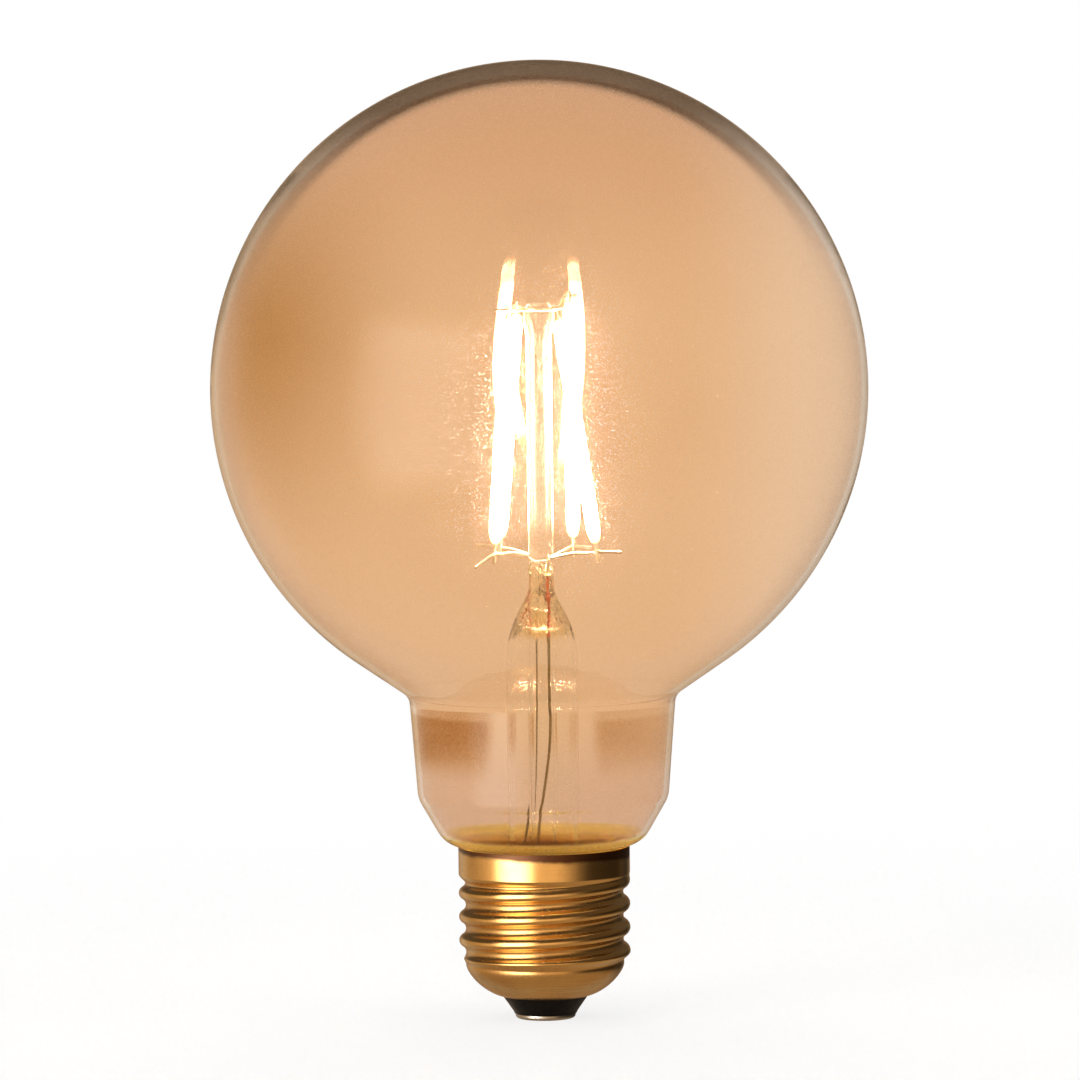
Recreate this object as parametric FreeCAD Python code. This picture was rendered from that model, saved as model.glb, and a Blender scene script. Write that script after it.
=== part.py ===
import FreeCAD
import Part

# Filament globe lamp with a 27 mm Edison screw cap, in millimetres.
# Frame: +Z runs up the lamp's axis from cap to crown, -Y faces the viewer, and the origin is the centre of
# the flat underside of the centre contact, the lamp's lowest point.

import math
import os

V = FreeCAD.Vector
AXIS_START = V(0, 0, 0)
UP = V(0, 0, 1)

# Globe: blown glass, thicker at the crown than round the middle
GLOBE_RADIUS = 50.0
GLOBE_CENTRE_HEIGHT = 96.2
GLOBE_SIDE_WALL = 0.95
GLOBE_CROWN_WALL = 1.9
CROWN_ARC_SHARE = 0.06

# Glass neck, which tapers a little towards the cap. The globe runs straight in to it from a given angle below
# its middle. Below the neck a cone between two roundings leads in to the spigot that the cap is cemented to
GLOBE_RUN_IN_ANGLE = 55.6
NECK_TOP_RADIUS = 20.1
NECK_FOOT_RADIUS = 19.2
NECK_LENGTH = 11.6
NECK_FOOT_ABOVE_RIM = 8.5
NECK_WALL = 0.8
GLOBE_TO_NECK_ROUNDING = 2.5
SHOULDER_ROUNDING = 4.5
SHOULDER_CONE_LENGTH = 4.9
SHOULDER_CONE_LEAN = 30.0
SHOULDER_FOOT_ROUNDING = 4.5
SHOULDER_TO_SPIGOT_ROUNDING = 1.2
SPIGOT_RADIUS = 11.35
SPIGOT_LENGTH_IN_SHELL = 5.4

# Screw shell: rolled sheet with the 27 mm Edison thread
SHELL_WALL = 0.25
SHELL_RIM_HEIGHT = 26.4
THREAD_CREST_RADIUS = 13.1
THREAD_ROOT_RADIUS = 12.05
THREAD_PITCH = 3.629
THREAD_CREST_HEIGHT = 17.5
COLLAR_LENGTH = 4.0
THREAD_RUN_OUT = 1.7
BOWL_TOP_RADIUS = 12.1
BOWL_TOP_HEIGHT = 8.4
BOWL_HOLE_RADIUS = 6.7
BOWL_HOLE_HEIGHT = 3.5
BOWL_SIDE_HANDLE = 1.3
BOWL_FLOOR_HANDLE = 2.95
BOWL_FLOOR_RISE = 0.65

# Black insulator moulded into the bottom of the shell, and the centre contact riveted through it
INSULATOR_TOP_HEIGHT = 6.3
INSULATOR_SKIRT_RADIUS = 4.95
INSULATOR_SKIRT_HEIGHT = 1.15
INSULATOR_TIP_RADIUS = 4.75
CONTACT_RADIUS = 4.6
CONTACT_FLAT_RADIUS = 3.4
CONTACT_THICKNESS = 0.75
CONTACT_EDGE_ROUNDING = 0.5
RIVET_RADIUS = 1.0
RIVET_HEAD_RADIUS = 1.7
RIVET_HEAD_TOP_RADIUS = 1.2
RIVET_HEAD_THICKNESS = 0.4

# Cement between the glass spigot and the shell's plain collar
CEMENT_DEPTH = 2.05
CEMENT_TOP_GAP = 0.25
SEAT_CLEARANCE = 0.05

# Clear glass stem: a flared tube below, pressed flat above round the seal wires. What is sealed in the press
# or stands on it is measured from its top
PRESS_TOP_HEIGHT = 69.8
PRESS_TOP_HALF_WIDTH = 3.4
PRESS_TOP_HALF_THICKNESS = 1.3
PRESS_LENGTH = 15.3
PRESS_TURN = -66.0
STEM_RADIUS = 5.5
STEM_WALL = 0.9
STEM_CEILING_DEPTH = 9.8
STEM_CEILING_MARGIN = 0.25

# Sections of the press: share of the way up it, half-width and half-thickness
PRESS_SECTIONS = [
    (0.19, 5.3, 5.2),
    (0.373, 4.7, 4.4),
    (0.542, 4.05, 3.1),
    (0.686, 3.75, 1.75),
    (0.778, 3.6, 1.35),
    (0.876, 3.6, 1.35),
    (0.948, 3.75, 1.6),
]

# Exhaust tube inside the stem, closed by a melted tip, and the hole it was pumped through
EXHAUST_RADIUS = 2.2
EXHAUST_WALL = 0.7
EXHAUST_TIP_HEIGHT = 17.5
EXHAUST_TIP_THICKENING = 0.6
EXHAUST_THROAT_RADIUS = 1.1
EXHAUST_HOLE_RADIUS = 0.85
EXHAUST_HOLE_DEPTH = 8.0

# Glass rod that holds the upper wires in its pinched top
ROD_RADIUS = 1.9
ROD_FOOT_RADIUS = 1.25
ROD_FOOT_NECK = 0.45
UPPER_WELD_HEIGHT = 108.8
ROD_PINCH_BELOW_WELD = 1.8
ROD_PINCH_TAPER = 2.4
ROD_PINCH_HALF_WIDTH = 2.35
ROD_PINCH_HALF_THICKNESS = 1.1
ROD_TOP_ABOVE_WELD = 1.3
ROD_TOP_HALF_WIDTH = 1.85

# Wires
SUPPORT_WIRE_RADIUS = 0.25
LEAD_WIRE_RADIUS = 0.2
SEAL_GAP = 0.01
WELD_GAP = 0.02
WELD_KNOT_RADIUS = 0.34
SEAL_WIRE_CLEARANCE = 0.15
SEAL_WIRE_FOOT_DEPTH = 11.2
SEAL_WIRE_TOP_DEPTH = 1.8
LOWER_WELD_ABOVE_PRESS = 1.85
CROSS_WIRE_DIP = 1.0
CROSS_WIRE_LEVEL = 0.6
CROSS_WIRE_KNEE_SHARE = 0.42
CROSS_WIRE_KNEE_DROP = 0.2
CROSS_WIRE_BOW = 0.5
LEAD_OF_SIDE = {"left": "back", "right": "front"}
TOP_WIRE_DEPTH = 0.5
TOP_WIRE_CLEAR_OF_ROD = 0.6
STRAIGHT_PAST_WELD = 0.9
WIRE_BEND_RADIUS = 0.6
LEAD_BEND_RADIUS = 40.0
LEAD_STRAIGHT_TOP = 2.0
LEAD_STRAIGHT_FOOT = 3.0

# How far each outer lead bows in plan from the straight line between its ends, at even steps down it
LEAD_BOWS = {
    "front": ((0.35, -0.15), (0.75, -0.3), (0.75, -0.35), (-0.1, 0.0), (0.1, 0.0)),
    "back": ((0.15, 0.1), (0.55, 0.2), (0.75, 0.1), (0.7, 0.0), (-0.1, 0.0)),
}

# Filaments: phosphor bars with a flat metal tab at each end
FILAMENT_RADIUS = 1.05
FILAMENT_TIP_RADIUS = 0.5
FILAMENT_TAPER = 2.4
FILAMENT_LOWER_GAP = 1.5
TAB_WIDTH = 0.7
TAB_THICKNESS = 0.3
TAB_LOWER_TAIL = 1.5
TAB_UPPER_TAIL = 0.9

# Where each filament meets its lower wire and its upper wire, seen from above, how far its upper weld lies
# above the rod's, and the gap between that weld and the phosphor
FILAMENT_PLACES = {
    "front_left": ((-7.0, -6.4), (-4.5, -3.7), 0.0, 1.2),
    "front_right": ((8.5, -6.2), (2.8, -4.1), 0.2, 1.7),
    "back_left": ((-6.3, 6.4), (-3.3, 4.0), 0.4, 1.0),
    "back_right": ((5.0, 6.4), (4.7, 3.6), 1.9, 0.8),
}

# The free end of each cross wire and of each top wire, from the end of its straight run past the weld
CROSS_WIRE_ENDS = {
    "front_left": (-2.9, -1.8, -1.9),
    "front_right": (2.7, -1.3, 0.0),
    "back_left": (-3.4, 2.4, 0.1),
    "back_right": (2.9, 1.4, -0.4),
}
TOP_WIRE_ENDS = {
    "front_left": (-1.9, -0.9, 0.05),
    "front_right": (1.3, -0.5, 0.3),
    "back_left": (-0.9, 0.7, 0.1),
    "back_right": (1.0, 0.6, 0.2),
}

# Driver inside the cap
BOARD_CLEARANCE = 0.3
BOARD_UNDERSIDE_HEIGHT = 11.0
BOARD_THICKNESS = 1.0
BOARD_HOLE_CLEARANCE = 0.05
LEAD_TAIL_BELOW_BOARD = 0.8
FRONT_LEAD_HOLE = (-0.9, -3.4)
BACK_LEAD_HOLE = (-3.3, 3.1)
CAPACITOR_RADIUS = 3.15
CAPACITOR_TOP_CLEARANCE = 2.5
CAPACITOR_STANDOFF = 0.3
CAPACITOR_PLACE = (5.9, 2.6)
CAPACITOR_LEG_SPACING = 2.5
CAPACITOR_LEG_RADIUS = 0.25
CAPACITOR_EDGE_ROUNDING = 0.4
FUSE_RADIUS = 1.4
FUSE_WAIST_RADIUS = 1.2
FUSE_END_RADIUS = 1.1
FUSE_LENGTH = 6.4
FUSE_PLACE = (-7.3, 0.0)
FUSE_STANDOFF = 0.4
FUSE_LEG_REACH = 1.1
FUSE_LEG_RADIUS = 0.25
RECTIFIER_LENGTH = 4.7
RECTIFIER_DEPTH = 3.9
RECTIFIER_HEIGHT = 1.5
RECTIFIER_PLACE = (1.6, -7.2)
REGULATOR_LENGTH = 4.5
REGULATOR_DEPTH = 2.5
REGULATOR_HEIGHT = 1.5
REGULATOR_PLACE = (-0.4, 7.4)
CHIP_STANDOFF = 0.1
CHIP_EDGE_CHAMFER = 0.25
CHIP_LEG_THICKNESS = 0.2
CHIP_LEG_WIDTH = 0.6
CHIP_LEG_REACH = 0.9
HOOKUP_WIRE_RADIUS = 0.4
LIVE_WIRE_PLACE = (3.4, -1.6)
NEUTRAL_SOLDER_RADIUS = 0.75
NEUTRAL_WALL_GAP = 0.2

NECK_FOOT_HEIGHT = SHELL_RIM_HEIGHT + NECK_FOOT_ABOVE_RIM
SPIGOT_FOOT_HEIGHT = SHELL_RIM_HEIGHT - SPIGOT_LENGTH_IN_SHELL
COLLAR_FOOT_HEIGHT = SHELL_RIM_HEIGHT - COLLAR_LENGTH
CEMENT_TOP_HEIGHT = SHELL_RIM_HEIGHT - CEMENT_TOP_GAP
CEMENT_FOOT_HEIGHT = CEMENT_TOP_HEIGHT - CEMENT_DEPTH
STEM_SHOULDER_HEIGHT = PRESS_TOP_HEIGHT - PRESS_LENGTH
STEM_CEILING_HEIGHT = PRESS_TOP_HEIGHT - STEM_CEILING_DEPTH
EXHAUST_HOLE_HEIGHT = PRESS_TOP_HEIGHT - EXHAUST_HOLE_DEPTH
SEAL_WIRE_FOOT_HEIGHT = PRESS_TOP_HEIGHT - SEAL_WIRE_FOOT_DEPTH
SEAL_WIRE_TOP_HEIGHT = PRESS_TOP_HEIGHT - SEAL_WIRE_TOP_DEPTH
LOWER_WELD_HEIGHT = PRESS_TOP_HEIGHT + LOWER_WELD_ABOVE_PRESS
ROD_PINCH_HEIGHT = UPPER_WELD_HEIGHT - ROD_PINCH_BELOW_WELD
ROD_PINCH_START_HEIGHT = ROD_PINCH_HEIGHT - ROD_PINCH_TAPER
ROD_TOP_HEIGHT = UPPER_WELD_HEIGHT + ROD_TOP_ABOVE_WELD
BOARD_TOP_HEIGHT = BOARD_UNDERSIDE_HEIGHT + BOARD_THICKNESS
CAPACITOR_HEIGHT = SPIGOT_FOOT_HEIGHT - CAPACITOR_TOP_CLEARANCE - CAPACITOR_STANDOFF - BOARD_TOP_HEIGHT
BOARD_RADIUS = THREAD_ROOT_RADIUS - SHELL_WALL - BOARD_CLEARANCE
COLLAR_INNER_RADIUS = THREAD_CREST_RADIUS - SHELL_WALL
SPIGOT_BORE_RADIUS = SPIGOT_RADIUS - NECK_WALL
SEAL_WIRE_OFFSET = EXHAUST_RADIUS + SEAL_WIRE_CLEARANCE + LEAD_WIRE_RADIUS
PARTS_FOLDER = "parts"


def edge(start, end):
    """A straight edge between two points."""
    return Part.LineSegment(start, end).toShape()


def meridian(radius, height):
    """A point of a profile that is turned round the axis."""
    return V(radius, 0, height)


def arc_about(centre, start, end):
    """The shorter arc from start to end round centre, all in the profile's plane."""
    radius = (start - centre).Length
    middle = (start - centre).normalize() + (end - centre).normalize()
    return Part.Arc(start, centre + middle.normalize() * radius, end).toShape()


def turned(edges):
    """The solid that a closed profile sweeps round the axis."""
    return Part.Face(Part.Wire(edges)).revolve(AXIS_START, UP, 360)


def turned_outline(points):
    """The solid that a closed outline of straight edges sweeps round the axis."""
    corners = [meridian(*p) for p in points]
    return turned([edge(a, b) for a, b in zip(corners, corners[1:] + corners[:1])])


def ellipse_wire(half_width, half_depth, height, turn=0.0):
    """A closed horizontal ellipse, with its half_width along X before it is turned about the axis."""
    if abs(half_width - half_depth) < 1e-6:
        shape = Part.Circle(V(0, 0, height), UP, half_width).toShape()
    else:
        across = V(half_width, 0, height)
        shape = Part.Ellipse(across, V(0, half_depth, height), V(0, 0, height)).toShape()
    shape.rotate(AXIS_START, UP, turn)
    return Part.Wire(shape)


def rounding_centre(first, first_outward, second, second_outward, rounding):
    """Where a rounding sits that touches two lines from outside, each given by a point and its outward side."""
    a, b = first_outward, second_outward
    reach_a = rounding + a.dot(first)
    reach_b = rounding + b.dot(second)
    spread = a.x * b.z - a.z * b.x
    return meridian((reach_a * b.z - a.z * reach_b) / spread, (a.x * reach_b - b.x * reach_a) / spread)


def upper_half(centre, radius, crown_radius):
    """The globe's skin from crown to equator: one arc, or two tangent arcs where the crown is lower."""
    crown = centre + V(0, 0, crown_radius)
    equator = centre + V(radius, 0, 0)
    flattening = radius - crown_radius
    if flattening < 1e-6:
        return [arc_about(centre, crown, equator)]
    shift = CROWN_ARC_SHARE * radius
    drop = (shift**2 - (shift - flattening) ** 2) / (2 * (shift - flattening))
    side_centre = centre + V(shift, 0, 0)
    cap_centre = centre - V(0, 0, drop)
    meeting = cap_centre + (side_centre - cap_centre).normalize() * (crown_radius + drop)
    return [arc_about(cap_centre, crown, meeting), arc_about(side_centre, meeting, equator)]


def globe_profile(radius, crown_radius, inward):
    """Edges of the globe's outer skin, or of its inner skin, from the crown down to the spigot's foot.

    radius is the skin's radius at the equator and crown_radius its height above the centre. inward is how far
    the neck's skin lies inside the outer one.
    """
    centre = meridian(0, GLOBE_CENTRE_HEIGHT)
    slope = (NECK_TOP_RADIUS - NECK_FOOT_RADIUS) / NECK_LENGTH
    stretch = math.hypot(1, slope)
    outward = V(1, 0, -slope) * (1 / stretch)
    foot = meridian(NECK_FOOT_RADIUS, NECK_FOOT_HEIGHT) - outward * inward

    run_in = math.radians(GLOBE_RUN_IN_ANGLE)
    run_in_outward = V(math.cos(run_in), 0, -math.sin(run_in))
    globe_end = centre + run_in_outward * radius
    globe_rounding = GLOBE_TO_NECK_ROUNDING + inward
    blend = rounding_centre(globe_end, run_in_outward, foot, outward, globe_rounding)
    run_in_end = blend - run_in_outward * globe_rounding
    neck_top = blend - outward * globe_rounding

    lean = math.radians(SHOULDER_CONE_LEAN)
    cone_outward = V(math.cos(lean), 0, -math.sin(lean))
    cone_down = V(-math.sin(lean), 0, -math.cos(lean))
    shoulder_rounding = SHOULDER_ROUNDING - inward
    shoulder = foot - outward * shoulder_rounding
    cone_start = shoulder + cone_outward * shoulder_rounding
    cone_end = cone_start + cone_down * SHOULDER_CONE_LENGTH
    foot_rounding = SHOULDER_FOOT_ROUNDING - inward
    shoulder_foot = cone_end - cone_outward * foot_rounding
    spigot_rounding = SHOULDER_TO_SPIGOT_ROUNDING + inward
    spigot_radius = SPIGOT_RADIUS - inward
    reach = foot_rounding + spigot_rounding
    drop = math.sqrt(reach**2 - (spigot_radius + spigot_rounding - shoulder_foot.x) ** 2)
    tuck = meridian(spigot_radius + spigot_rounding, shoulder_foot.z - drop)
    shoulder_end = shoulder_foot + (tuck - shoulder_foot).normalize() * foot_rounding
    spigot_top = meridian(spigot_radius, tuck.z)

    equator = meridian(radius, GLOBE_CENTRE_HEIGHT)
    return [
        *upper_half(centre, radius, crown_radius),
        arc_about(centre, equator, globe_end),
        edge(globe_end, run_in_end),
        arc_about(blend, run_in_end, neck_top),
        edge(neck_top, foot),
        arc_about(shoulder, foot, cone_start),
        edge(cone_start, cone_end),
        arc_about(shoulder_foot, cone_end, shoulder_end),
        arc_about(tuck, shoulder_end, spigot_top),
        edge(spigot_top, meridian(spigot_radius, SPIGOT_FOOT_HEIGHT)),
    ]


def globe_skins():
    """The globe's outer and inner skins, as lists of edges."""
    outer = globe_profile(GLOBE_RADIUS, GLOBE_RADIUS, 0.0)
    inner_radius = GLOBE_RADIUS - GLOBE_SIDE_WALL
    inner = globe_profile(inner_radius, GLOBE_RADIUS - GLOBE_CROWN_WALL, NECK_WALL)
    return outer, inner


def glass_globe():
    """The blown globe with its neck, shoulder and the spigot that enters the cap."""
    outer, inner = globe_skins()
    foot = edge(
        meridian(SPIGOT_RADIUS - NECK_WALL, SPIGOT_FOOT_HEIGHT), meridian(SPIGOT_RADIUS, SPIGOT_FOOT_HEIGHT)
    )
    crown = edge(
        meridian(0, GLOBE_CENTRE_HEIGHT + GLOBE_RADIUS - GLOBE_CROWN_WALL),
        meridian(0, GLOBE_CENTRE_HEIGHT + GLOBE_RADIUS),
    )
    return turned(Part.__sortEdges__([*outer, *inner, foot, crown]))


def globe_plug():
    """The space inside the globe's outer skin, for cutting what lies against it."""
    outer, _ = globe_skins()
    top = meridian(0, GLOBE_CENTRE_HEIGHT + GLOBE_RADIUS)
    foot = meridian(0, SPIGOT_FOOT_HEIGHT)
    closing = [edge(top, foot), edge(foot, meridian(SPIGOT_RADIUS, SPIGOT_FOOT_HEIGHT))]
    return turned(Part.__sortEdges__([*outer, *closing]))


def smooth_step(share):
    """Rises smoothly from 0 to 1 as share does."""
    t = min(1.0, max(0.0, share))
    return t * t * (3 - 2 * t)


def thread_skin_radius(angle, height, inward):
    """Radius of the rolled thread, whose crests and roots are equal arcs that meet tangentially.

    inward is how far the skin lies inside the outer one, measured square to the sheet.
    """
    depth = THREAD_CREST_RADIUS - THREAD_ROOT_RADIUS
    arc = (THREAD_PITCH**2 / 4 + depth**2) / (4 * depth)
    turns = (height - THREAD_CREST_HEIGHT) / THREAD_PITCH - angle / (2 * math.pi)
    from_crest = abs(turns - round(turns)) * THREAD_PITCH
    crest_arc, root_arc = arc - inward, arc + inward
    if from_crest <= THREAD_PITCH / 4 * crest_arc / arc:
        return THREAD_CREST_RADIUS - arc + math.sqrt(crest_arc**2 - from_crest**2)
    from_root = THREAD_PITCH / 2 - from_crest
    return THREAD_ROOT_RADIUS + arc - math.sqrt(root_arc**2 - from_root**2)


def shell_side_radius(angle, height, inward):
    """Radius of the shell between its rim and its bowl: plain collar, thread, and the thread's run-out."""
    thread = thread_skin_radius(angle, height, inward)
    collar = THREAD_CREST_RADIUS - inward
    radius = collar + (thread - collar) * smooth_step((COLLAR_FOOT_HEIGHT - height) / THREAD_RUN_OUT)
    bowl = BOWL_TOP_RADIUS - inward
    return bowl + (radius - bowl) * smooth_step((height - BOWL_TOP_HEIGHT) / THREAD_RUN_OUT)


def bowl_curve():
    """The curve of the shell's rounded bottom, from the thread's foot to the insulator's hole."""
    curve = Part.BezierCurve()
    curve.setPoles(
        [
            meridian(BOWL_TOP_RADIUS, BOWL_TOP_HEIGHT),
            meridian(BOWL_TOP_RADIUS, BOWL_TOP_HEIGHT - BOWL_SIDE_HANDLE),
            meridian(BOWL_HOLE_RADIUS + BOWL_FLOOR_HANDLE, BOWL_HOLE_HEIGHT + BOWL_FLOOR_RISE),
            meridian(BOWL_HOLE_RADIUS, BOWL_HOLE_HEIGHT),
        ]
    )
    return curve


def bowl_points(inward, count=24):
    """(radius, height) along the bowl, moved inward square to its curve."""
    curve = bowl_curve()
    found = []
    for i in range(count + 1):
        share = i / count
        point = curve.value(share)
        along = curve.tangent(share)[0]
        inner = V(along.z, 0, -along.x)
        found.append((point.x + inner.x * inward, point.z + inner.z * inward))
    return found


def shell_skin(inward):
    """The outer or inner skin of the screw shell, as one closed tube of surface."""
    rows_per_pitch, columns = 8, 24
    side = SHELL_RIM_HEIGHT - BOWL_TOP_HEIGHT
    count = math.ceil(side / THREAD_PITCH * rows_per_pitch)
    heights = [SHELL_RIM_HEIGHT - side * i / count for i in range(count)]
    bowl = bowl_points(inward)
    rows = []
    for height in heights:
        row = []
        for column in range(columns + 1):
            angle = 2 * math.pi * (column % columns) / columns
            radius = shell_side_radius(angle, height, inward)
            row.append(V(radius * math.cos(angle), radius * math.sin(angle), height))
        rows.append(row)
    for radius, height in bowl:
        angles = [2 * math.pi * (column % columns) / columns for column in range(columns + 1)]
        rows.append([V(radius * math.cos(a), radius * math.sin(a), height) for a in angles])
    surface = Part.BSplineSurface()
    surface.interpolate(rows)
    surface.setVPeriodic()
    return surface.toShape()


def ring_between(outer, inner, height):
    """The flat ring that joins two skins' edges at a height."""

    def rim(skin):
        return min(skin.Edges, key=lambda e: abs(e.CenterOfMass.z - height) + 10 * (not e.isClosed()))

    return Part.makeRuledSurface(rim(outer), rim(inner))


def screw_shell():
    """The rolled shell: collar, thread and rounded bottom in one sheet."""
    outer, inner = shell_skin(0.0), shell_skin(SHELL_WALL)
    top = ring_between(outer, inner, SHELL_RIM_HEIGHT)
    bottom = ring_between(outer, inner, BOWL_HOLE_HEIGHT)
    shell = Part.makeCompound([outer, inner, top, bottom])
    shell.sewShape()
    solid = Part.Solid(shell.Shells[0])
    if solid.Volume < 0:
        solid.reverse()
    return solid


def basing_cement():
    """The ring of cement that holds the glass spigot in the collar."""
    outer = THREAD_CREST_RADIUS - SHELL_WALL - SEAT_CLEARANCE
    inner = SPIGOT_BORE_RADIUS
    foot, top = CEMENT_FOOT_HEIGHT, CEMENT_TOP_HEIGHT
    ring = turned_outline([(inner, foot), (outer, foot), (outer, top), (inner, top)])
    return max(ring.cut(globe_plug()).Solids, key=lambda s: s.Volume)


def cap_insulator():
    """The moulded black insulator: it fills the shell's bowl and comes out through its hole as a cone."""
    points = [meridian(r, z) for r, z in bowl_points(SHELL_WALL + SEAT_CLEARANCE)]
    bowl = Part.BSplineCurve()
    bowl.interpolate(points)
    inside = bowl.toShape()
    top_of_bowl, end_of_bowl = points[0], points[-1]
    hole = end_of_bowl.x - SEAT_CLEARANCE
    rivet = RIVET_RADIUS + SEAT_CLEARANCE
    edges = [
        inside,
        edge(end_of_bowl, meridian(hole, end_of_bowl.z)),
        edge(meridian(hole, end_of_bowl.z), meridian(hole, BOWL_HOLE_HEIGHT)),
        edge(meridian(hole, BOWL_HOLE_HEIGHT), meridian(INSULATOR_SKIRT_RADIUS, INSULATOR_SKIRT_HEIGHT)),
        edge(
            meridian(INSULATOR_SKIRT_RADIUS, INSULATOR_SKIRT_HEIGHT),
            meridian(INSULATOR_TIP_RADIUS, CONTACT_THICKNESS),
        ),
        edge(meridian(INSULATOR_TIP_RADIUS, CONTACT_THICKNESS), meridian(rivet, CONTACT_THICKNESS)),
        edge(meridian(rivet, CONTACT_THICKNESS), meridian(rivet, top_of_bowl.z)),
        edge(meridian(rivet, top_of_bowl.z), top_of_bowl),
    ]
    full = turned(Part.__sortEdges__(edges))
    above = Part.makeCylinder(THREAD_CREST_RADIUS, top_of_bowl.z, V(0, 0, INSULATOR_TOP_HEIGHT))
    return full.cut(above)


def centre_contact():
    """The stamped contact plate with the rivet that holds it in the insulator."""
    rounding_centre = meridian(CONTACT_RADIUS - CONTACT_EDGE_ROUNDING, CONTACT_EDGE_ROUNDING)
    edge_start = meridian(CONTACT_RADIUS, CONTACT_EDGE_ROUNDING)
    down = V(CONTACT_FLAT_RADIUS, 0, 0) - rounding_centre
    lean = math.atan2(-down.x, -down.z)
    turn = math.acos(CONTACT_EDGE_ROUNDING / down.Length) - lean
    edge_end = rounding_centre + V(math.sin(turn), 0, -math.cos(turn)) * CONTACT_EDGE_ROUNDING
    head_top = INSULATOR_TOP_HEIGHT + RIVET_HEAD_THICKNESS
    plate_top = CONTACT_THICKNESS
    edges = [
        edge(meridian(0, 0), meridian(CONTACT_FLAT_RADIUS, 0)),
        edge(meridian(CONTACT_FLAT_RADIUS, 0), edge_end),
        arc_about(rounding_centre, edge_end, edge_start),
        edge(edge_start, meridian(CONTACT_RADIUS, plate_top)),
        edge(meridian(CONTACT_RADIUS, plate_top), meridian(RIVET_RADIUS, plate_top)),
        edge(meridian(RIVET_RADIUS, plate_top), meridian(RIVET_RADIUS, INSULATOR_TOP_HEIGHT)),
        edge(meridian(RIVET_RADIUS, INSULATOR_TOP_HEIGHT), meridian(RIVET_HEAD_RADIUS, INSULATOR_TOP_HEIGHT)),
        edge(meridian(RIVET_HEAD_RADIUS, INSULATOR_TOP_HEIGHT), meridian(RIVET_HEAD_TOP_RADIUS, head_top)),
        edge(meridian(RIVET_HEAD_TOP_RADIUS, head_top), meridian(0, head_top)),
        edge(meridian(0, head_top), meridian(0, 0)),
    ]
    return turned(Part.__sortEdges__(edges))


def loft(sections, turn):
    """A smooth solid through horizontal ellipses, each given as height, half-width and half-thickness."""
    wires = [ellipse_wire(width, thickness, height, turn) for height, width, thickness in sections]
    return Part.makeLoft(wires, True, False)


def turned_place(offset, turn):
    """Where a point on +X at this offset from the axis comes to lie after a turn in degrees."""
    angle = math.radians(turn)
    return offset * math.cos(angle), offset * math.sin(angle)


def wire_path(points, bend):
    """Straight runs between points, joined by tangent arcs no larger than the runs allow."""
    edges = []
    start = points[0]
    for before, corner, after in zip(points, points[1:], points[2:]):
        inward, outward = (corner - before), (after - corner)
        shorter = min(inward.Length, outward.Length)
        into, out = V(inward).normalize(), V(outward).normalize()
        half_turn = into.getAngle(out) / 2
        if half_turn < 1e-4:
            continue
        cut = min(bend * math.tan(half_turn), 0.45 * shorter)
        radius = cut / math.tan(half_turn)
        arc_start, arc_end = corner - into * cut, corner + out * cut
        to_centre = (out - into).normalize()
        middle = corner + to_centre * (radius / math.cos(half_turn) - radius)
        edges.append(edge(start, arc_start))
        edges.append(Part.Arc(arc_start, middle, arc_end).toShape())
        start = arc_end
    edges.append(edge(start, points[-1]))
    return Part.Wire(edges)


def round_wire(points, radius, bend=WIRE_BEND_RADIUS):
    """A round wire along straight runs and tangent arcs."""
    first = (points[1] - points[0]).normalize()
    section = Part.Wire(Part.Circle(points[0], first, radius).toShape())
    return wire_path(points, bend).makePipe(Part.Face(section))


def seal_wire_places():
    """Plan positions of the front and back seal wires, on the long axis of the press."""
    return {"front": turned_place(SEAL_WIRE_OFFSET, PRESS_TURN), "back": turned_place(-SEAL_WIRE_OFFSET, PRESS_TURN)}


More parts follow.
